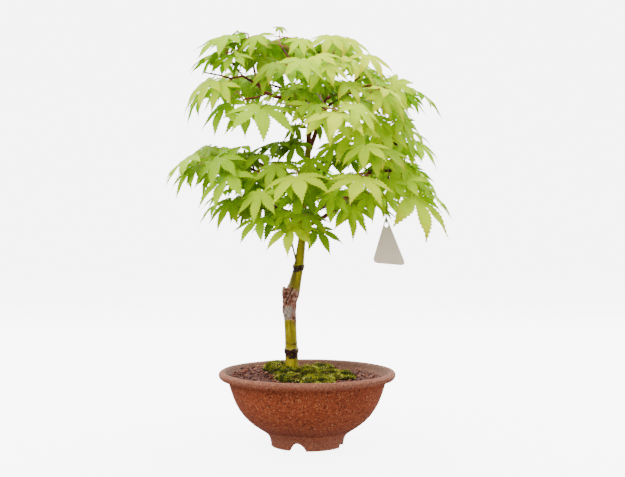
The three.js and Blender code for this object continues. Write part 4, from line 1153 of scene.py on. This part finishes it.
def youngLeaves(leaves, box, centres, chance):
    # smaller leaves that fill the inside of a spray, opposite the large ones and never past their reach
    settings = infillSettings
    low, high = box
    young = []
    for leaf in leaves * settings["each"]:
        for _ in range(settings["tries"]):
            size = leaf["size"] * chance.uniform(*settings["size"])
            turn = math.radians(chance.uniform(*settings["turn"])) * chance.choice((-1, 1))
            heading = math.atan2(leaf["ahead"].y, leaf["ahead"].x) + turn
            level = Vector((math.cos(heading), math.sin(heading), 0))
            centre = leaf["root"] + level * chance.uniform(*settings["stalk"]) * mm
            centre.z += chance.uniform(*settings["rise"]) * mm
            pitch, roll = (math.radians(chance.uniform(*settings[key])) for key in ("pitch", "roll"))
            ahead = level * math.cos(pitch) - Vector((0, 0, math.sin(pitch)))
            flat = Vector((-level.y, level.x, 0))
            aside = flat * math.cos(roll) + ahead.cross(flat) * math.sin(roll)
            ends = [centre + ahead * size, centre + aside * 0.7 * size, centre - aside * 0.7 * size]
            inside = all(low[i] < end[i] < high[i] for end in ends for i in range(3))
            if inside and all((centre - other).length > settings["apart"] * mm for other in centres):
                centres.append(centre)
                young.append(youngLeaf(centre, size, ahead, aside, leaf["root"]))
                break
    return young


stalkSettings = {
    # radii in mm: a leaf's stalk, its two thicker points at the root, and the shoot that bears them all
    "stalk": 0.42,
    "roots": (0.75, 0.55),
    "shoot": 1.0,
    # how much the shoot thins out along its way, and how much it swells where a stalk leaves it
    "taper": 0.35,
    "node": 1.25,
    # the least distance from the shoot's start to its first node in mm, and a stalk's sag as a share of it
    "apart": 1.5,
    "sag": 0.05,
}


def buildSpray(name, leaves, start, flat, chance):
    settings = stalkSettings
    pieces, splines = [], []
    for leaf in leaves:
        tone, blush = toneOf(leaf["centre"], chance)
        if "young" in leaf:
            tone, blush = tone * 0.8, blush * 0.5
        pieces.append(bentLeaf(flat, leaf, chance, tone, blush))
        root, foot = leaf["root"], leaf["foot"]
        sag = Vector((0, 0, settings["sag"] * (foot - root).length))
        inBlade = leaf["centre"] + leaf["ahead"] * 0.03 * leaf["size"] - leaf["up"] * 0.3 * mm
        points = [root, root.lerp(foot, 0.35) + sag, root.lerp(foot, 0.7) + sag, foot, inBlade]
        smooth = curveThrough(points, False, 3)
        thin = [radius * mm for radius in settings["roots"]]
        thin += [settings["stalk"] * mm] * (len(smooth) - len(thin))
        splines.append((smooth, thin, False))
    roots = [leaf["root"] for leaf in leaves if "young" not in leaf]
    roots.sort(key=lambda place: (place - start).length)
    line = [start] + [place for place in roots if (place - start).length > settings["apart"] * mm]
    if len(line) == 1:
        line.append(start + (leaves[0]["centre"] - start) * 0.15)
    smooth = curveThrough(line, False, 3)
    wide = [(settings["shoot"] - settings["taper"] * i / len(smooth)) * mm for i in range(len(smooth))]
    for i in range(3, len(smooth), 3):
        wide[i] *= settings["node"]
    splines.append((smooth, wide, False))
    stems = tubeAlong("stems", splines, sides=6)
    setAttributes(stems.data, across=0.0, along=0.0, tone=0.5, blush=0.5)
    return joinPieces(pieces, "leaves_" + name[6:]), stems


innerLeaves = [
    # leaves that grow on the bearing wood, inside the crown: where they leave it, then each blade's
    # middle in mm, heading and pitch in degrees and length in mm
    {"name": "spray_inner_left", "start": (-1.5, 2.5, 337), "blades": [
        ((-17, 3, 345), 200, 28, 40), ((-33, -5, 341), 214, 24, 42), ((-20, 12, 338), 172, 18, 38),
        ((-46, 2, 339), 188, 22, 40), ((-12, -12, 340), 236, 42, 36)]},
    {"name": "spray_inner_fork", "start": (0.5, 0, 364), "blades": [
        ((-12, -5, 360), 222, 55, 28), ((10, -8, 366), 300, 50, 28)]},
    {"name": "spray_inner_top", "start": (3, -3, 391), "blades": [
        ((-14, -12, 404), 212, 35, 34), ((-26, 2, 404), 188, 28, 34), ((6, -18, 409), 262, 42, 30),
        ((-4, -24, 398), 246, 50, 30), ((19, -12, 403), 322, 38, 32), ((30, -14, 408), 300, 36, 32)]},
    {"name": "spray_inner_high_left", "start": (-61, -10.5, 433), "blades": [
        ((-70, -18, 437), 218, 48, 32), ((-52, -16, 436), 268, 52, 30), ((-67, 0, 440), 165, 30, 30)]},
    {"name": "spray_inner_low_left", "start": (-58, -19, 309.5), "blades": [
        ((-58, -31, 303), 262, 42, 36), ((-71, -29, 306), 224, 36, 36), ((-46, -30, 300), 290, 44, 34)]},
    {"name": "spray_inner_right", "start": (35, -23, 327.5), "blades": [
        ((45, -33, 326), 304, 36, 36), ((28, -32, 325), 238, 40, 34)]},
]


def innerSpray(inner):
    leaves = []
    start = Vector(inner["start"]) * mm
    for middle, heading, pitch, size in inner["blades"]:
        heading, pitch = math.radians(heading), math.radians(pitch)
        level = Vector((math.cos(heading), math.sin(heading), 0))
        ahead = level * math.cos(pitch) - Vector((0, 0, math.sin(pitch)))
        aside = Vector((-level.y, level.x, 0))
        leaves.append(youngLeaf(Vector(middle) * mm, size * mm, ahead, aside, start))
    return inner["name"], leaves, start


def leafMaterial():
    # fresh maple blades, thin and satiny: light comes through them, the veins are paler
    material, tree, shader, place = newMaterial("maple_leaf", 0.55, Specular_IOR_Level=0.1)
    tone, blush, across, along = (
        addNode(tree, "ShaderNodeAttribute", attribute_name=name).outputs["Fac"]
        for name in ("tone", "blush", "across", "along")
    )
    side = calculate(tree, "ABSOLUTE", across)
    mottle = addNode(tree, "ShaderNodeTexNoise", {"Vector": place}, Scale=95.0, Detail=3.0).outputs["Fac"]
    shade = calculate(tree, "ADD", tone, calculate(tree, "MULTIPLY_ADD", mottle, 0.3, -0.15))
    blade = addRamp(
        tree, shade,
        [(0.05, "#7ca000"), (0.3, "#9cc400"), (0.52, "#b8de00"), (0.76, "#d4f000"), (1.0, "#e8f800")],
    )
    # side veins leave the midrib every 5 mm or so and run out and forward
    slant = calculate(tree, "SUBTRACT", along, calculate(tree, "MULTIPLY", side, 0.09))
    teeth = calculate(tree, "PINGPONG", calculate(tree, "MULTIPLY", slant, 9.0), 0.5)
    sideVein = calculate(tree, "MULTIPLY", addRamp(tree, teeth, [(0.0, 1.0), (0.07, 0.0)], False), 0.45)
    midVein = addRamp(tree, side, [(0.0, 0.9), (0.13, 0.0)], False)
    vein = calculate(tree, "MAXIMUM", sideVein, midVein)
    blade = mixColours(tree, calculate(tree, "MULTIPLY", vein, 0.4), blade, "#e6f25c")
    # tips and edges flushed orange-pink on the leaves that have it
    tipShare = addRamp(tree, along, [(0.55, 0.0), (1.0, 1.0)], False)
    edgeShare = addRamp(tree, side, [(0.75, 0.0), (1.0, 0.6)], False)
    flush = calculate(tree, "MULTIPLY", calculate(tree, "MAXIMUM", tipShare, edgeShare), blush)
    blade = mixColours(tree, calculate(tree, "MULTIPLY", flush, 0.7), blade, "#e28c18")
    finishSurface(tree, shader, blade, vein, 0.35, 0.3, invert=True)
    through = addNode(tree, "ShaderNodeBsdfTranslucent", {"Color": blade})
    both = addNode(tree, "ShaderNodeMixShader", Fac=0.5)
    tree.links.new(shader.outputs["BSDF"], both.inputs[1])
    tree.links.new(through.outputs["BSDF"], both.inputs[2])
    tree.links.new(both.outputs["Shader"], tree.nodes["Material Output"].inputs["Surface"])
    return material


def stemMaterial():
    # leaf stalks and this year's shoots: smooth, pink-red above and green-orange below
    material, tree, shader, place = newMaterial("leaf_stalk", 0.45, Specular_IOR_Level=0.4)
    patch = addNode(tree, "ShaderNodeTexNoise", {"Vector": place}, Scale=60.0, Detail=2.0).outputs["Fac"]
    stops = [(0.35, "#8a3a28"), (0.48, "#c07850"), (0.6, "#b89a40"), (0.7, "#9fb030")]
    colour = addRamp(tree, patch, stops)
    tree.links.new(colour, shader.inputs["Base Color"])
    return material


flatLeaf = buildLeaf(leafSettings)
print("leaf modelled,", len(flatLeaf.data.polygons), "faces")
leafFinish = leafMaterial()
stemFinish = stemMaterial()
leafChance = random.Random(leafSettings["seed"])
woodPlaces = np.array([tuple(v.co) for v in nodes["trunk"].data.vertices])
readings = {name: leavesOfSpray(name, woodPlaces) for name in sprayNames}
bladeCentres = [leaf["centre"] for leaves, start in readings.values() for leaf in leaves]
print("blades read,", len(bladeCentres))
for sprayName, (leaves, start) in readings.items():
    leaves += youngLeaves(leaves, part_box(sprayName), bladeCentres, leafChance)
    blades, stems = buildSpray(sprayName, leaves, start, flatLeaf, leafChance)
    stems.name = "stalks_" + sprayName[6:]
    settle(blades, leafFinish, "leaves", sprayName, smoothAngle=60)
    settle(stems, stemFinish, "leaves", sprayName, smoothAngle=60)
for inner in innerLeaves:
    blades, stems = buildSpray(*innerSpray(inner), flatLeaf, leafChance)
    settle(blades, leafFinish, "leaves", smoothAngle=60)
    settle(stems, stemFinish, "leaves", smoothAngle=60)
bpy.data.objects.remove(flatLeaf)
print("sprays leafed,", len(sprayNames), "with", len(bladeCentres), "leaves")


# red bud scales where the strongest twigs start

budSettings = {
    "places": [(46, -3, 368), (67, -51, 308.5), (-20, -9, 435), (-4, 0, 249)],
    "scales": 6,
    "length": 4.2,
    "radii": (0.9, 0.05),
    "outFromTwig": 1.6,
    "seed": 8,
}


def buildBuds(settings):
    chance = random.Random(settings["seed"])
    scales = []
    for spot in settings["places"]:
        for i in range(settings["scales"]):
            heading = i * 2 * math.pi / settings["scales"] + chance.uniform(-0.3, 0.3)
            lean = Vector((math.cos(heading), math.sin(heading), chance.uniform(0.4, 1.6)))
            foot, tip = settings["radii"]
            deselectAll()
            bpy.ops.mesh.primitive_cone_add(
                vertices=6, radius1=foot * mm, radius2=tip * mm,
                depth=settings["length"] * chance.uniform(0.7, 1.2) * mm,
                location=(Vector(spot) + lean.normalized() * settings["outFromTwig"]) * mm,
                rotation=lean.to_track_quat("Z", "Y").to_euler(),
            )
            scale = bpy.context.object
            applyPlace(scale)
            applyModifier(scale, "SUBSURF", levels=1)
            scales.append(scale)
    return joinPieces(scales, "bud_scales")


def budMaterial():
    # papery bud scales, brick red with paler orange streaks
    material, tree, shader, place = newMaterial("bud_scale", 0.55, Specular_IOR_Level=0.3)
    patch = addNode(tree, "ShaderNodeTexNoise", {"Vector": place}, Scale=380.0, Detail=2.0).outputs["Fac"]
    colour = addRamp(tree, patch, [(0.35, "#5a160c"), (0.52, "#8c2c14"), (0.7, "#c06038")])
    tree.links.new(colour, shader.inputs["Base Color"])
    return material


settle(buildBuds(budSettings), budMaterial(), "bark")
print("buds set")


# the plain tag

def tagMaterial():
    # satin card plastic, plain: warm beige-grey with faint cloudy wear
    material, tree, shader, place = newMaterial("blank_tag_plastic", 0.42, Specular_IOR_Level=0.45)
    cloud = addNode(tree, "ShaderNodeTexNoise", {"Vector": place}, Scale=45.0, Detail=4.0).outputs["Fac"]
    colour = addRamp(tree, cloud, [(0.3, "#eed8c0"), (0.7, "#f8e6d2")])
    fine = addNode(tree, "ShaderNodeTexNoise", {"Vector": place}, Scale=900.0).outputs["Fac"]
    finishSurface(tree, shader, colour, fine, 0.12, 0.1)
    return material


tagCard = copyOfNode("tag", "tag_card")
roundEdges(tagCard, 0.25, 3)
settle(tagCard, tagMaterial(), "tag_card", "tag", smoothAngle=30)
print("tag cut")


# stage and light

stageSettings = {
    # a white sweep that turns up all round, as (radius, height) in metres, lit through from behind
    "profile": [
        (3.0, 0), (3.5, 0.04), (3.9, 0.17), (4.25, 0.42), (4.5, 0.8), (4.65, 1.3), (4.72, 2.2), (4.75, 4.2),
    ],
    "paper": "#c4c4c4",
    "glow": 6.2,
}


def buildStage(settings):
    radius, height = settings["profile"][0]
    deselectAll()
    bpy.ops.mesh.primitive_circle_add(vertices=96, radius=radius, fill_type="NGON", location=(0, 0, height))
    sweep = bpy.context.object
    sweep.name = "white_sweep"
    bpy.ops.object.mode_set(mode="EDIT")
    bpy.ops.mesh.select_all(action="SELECT")
    bpy.ops.mesh.region_to_loop()
    turnProfile(settings["profile"], 1)
    bpy.ops.object.mode_set(mode="OBJECT")
    bpy.ops.object.shade_smooth_by_angle(angle=math.radians(40))
    material, _, shader, _ = newMaterial("white_paper_sweep", 0.9, Specular_IOR_Level=0.1)
    shader.inputs["Base Color"].default_value = linear(settings["paper"])
    shader.inputs["Emission Color"].default_value = linear("#ffffff")
    shader.inputs["Emission Strength"].default_value = settings["glow"]
    sweep.data.materials.append(material)
    sweep.visible_diffuse = False  # its glow is for the eye alone, and the lamps and the sky light the tree
    sweep.visible_glossy = False
    sweep.visible_transmission = False


lightSettings = {
    # each lamp: place, aim, size in metres, watts and colour
    "lamps": {
        "keySoftbox": ((-1.0, -1.3, 1.6), (0, 0, 0.3), 1.2, 42.0, "#fff8ee"),
        "fillSoftbox": ((1.4, -1.2, 0.8), (0, 0, 0.25), 1.4, 12.0, "#f8f8f4"),
        "topSoftbox": ((0.1, 0.2, 1.7), (0, 0, 0.3), 1.2, 43.0, "#ffffff"),
        "backLeft": ((-0.9, 1.1, 1.0), (0, 0, 0.35), 1.0, 32.0, "#ffffff"),
        "backRight": ((0.9, 1.1, 0.9), (0, 0, 0.35), 1.0, 30.0, "#ffffff"),
    },
    "skyStrength": 0.7,
}


def buildLights(settings):
    for name, (place, aim, size, watts, colour) in settings["lamps"].items():
        turn = (Vector(aim) - Vector(place)).to_track_quat("-Z", "Y").to_euler()
        bpy.ops.object.light_add(type="AREA", location=place, rotation=turn)
        light = bpy.context.object
        light.name = name
        light.data.size = size
        light.data.energy = watts
        light.data.color = linear(colour)[:3]
    world = bpy.data.worlds.new("studio_white")
    world.use_nodes = True
    background = world.node_tree.nodes["Background"]
    background.inputs["Color"].default_value = linear("#ffffff")
    background.inputs["Strength"].default_value = settings["skyStrength"]
    bpy.context.scene.world = world


buildStage(stageSettings)
buildLights(lightSettings)
print("stage lit")
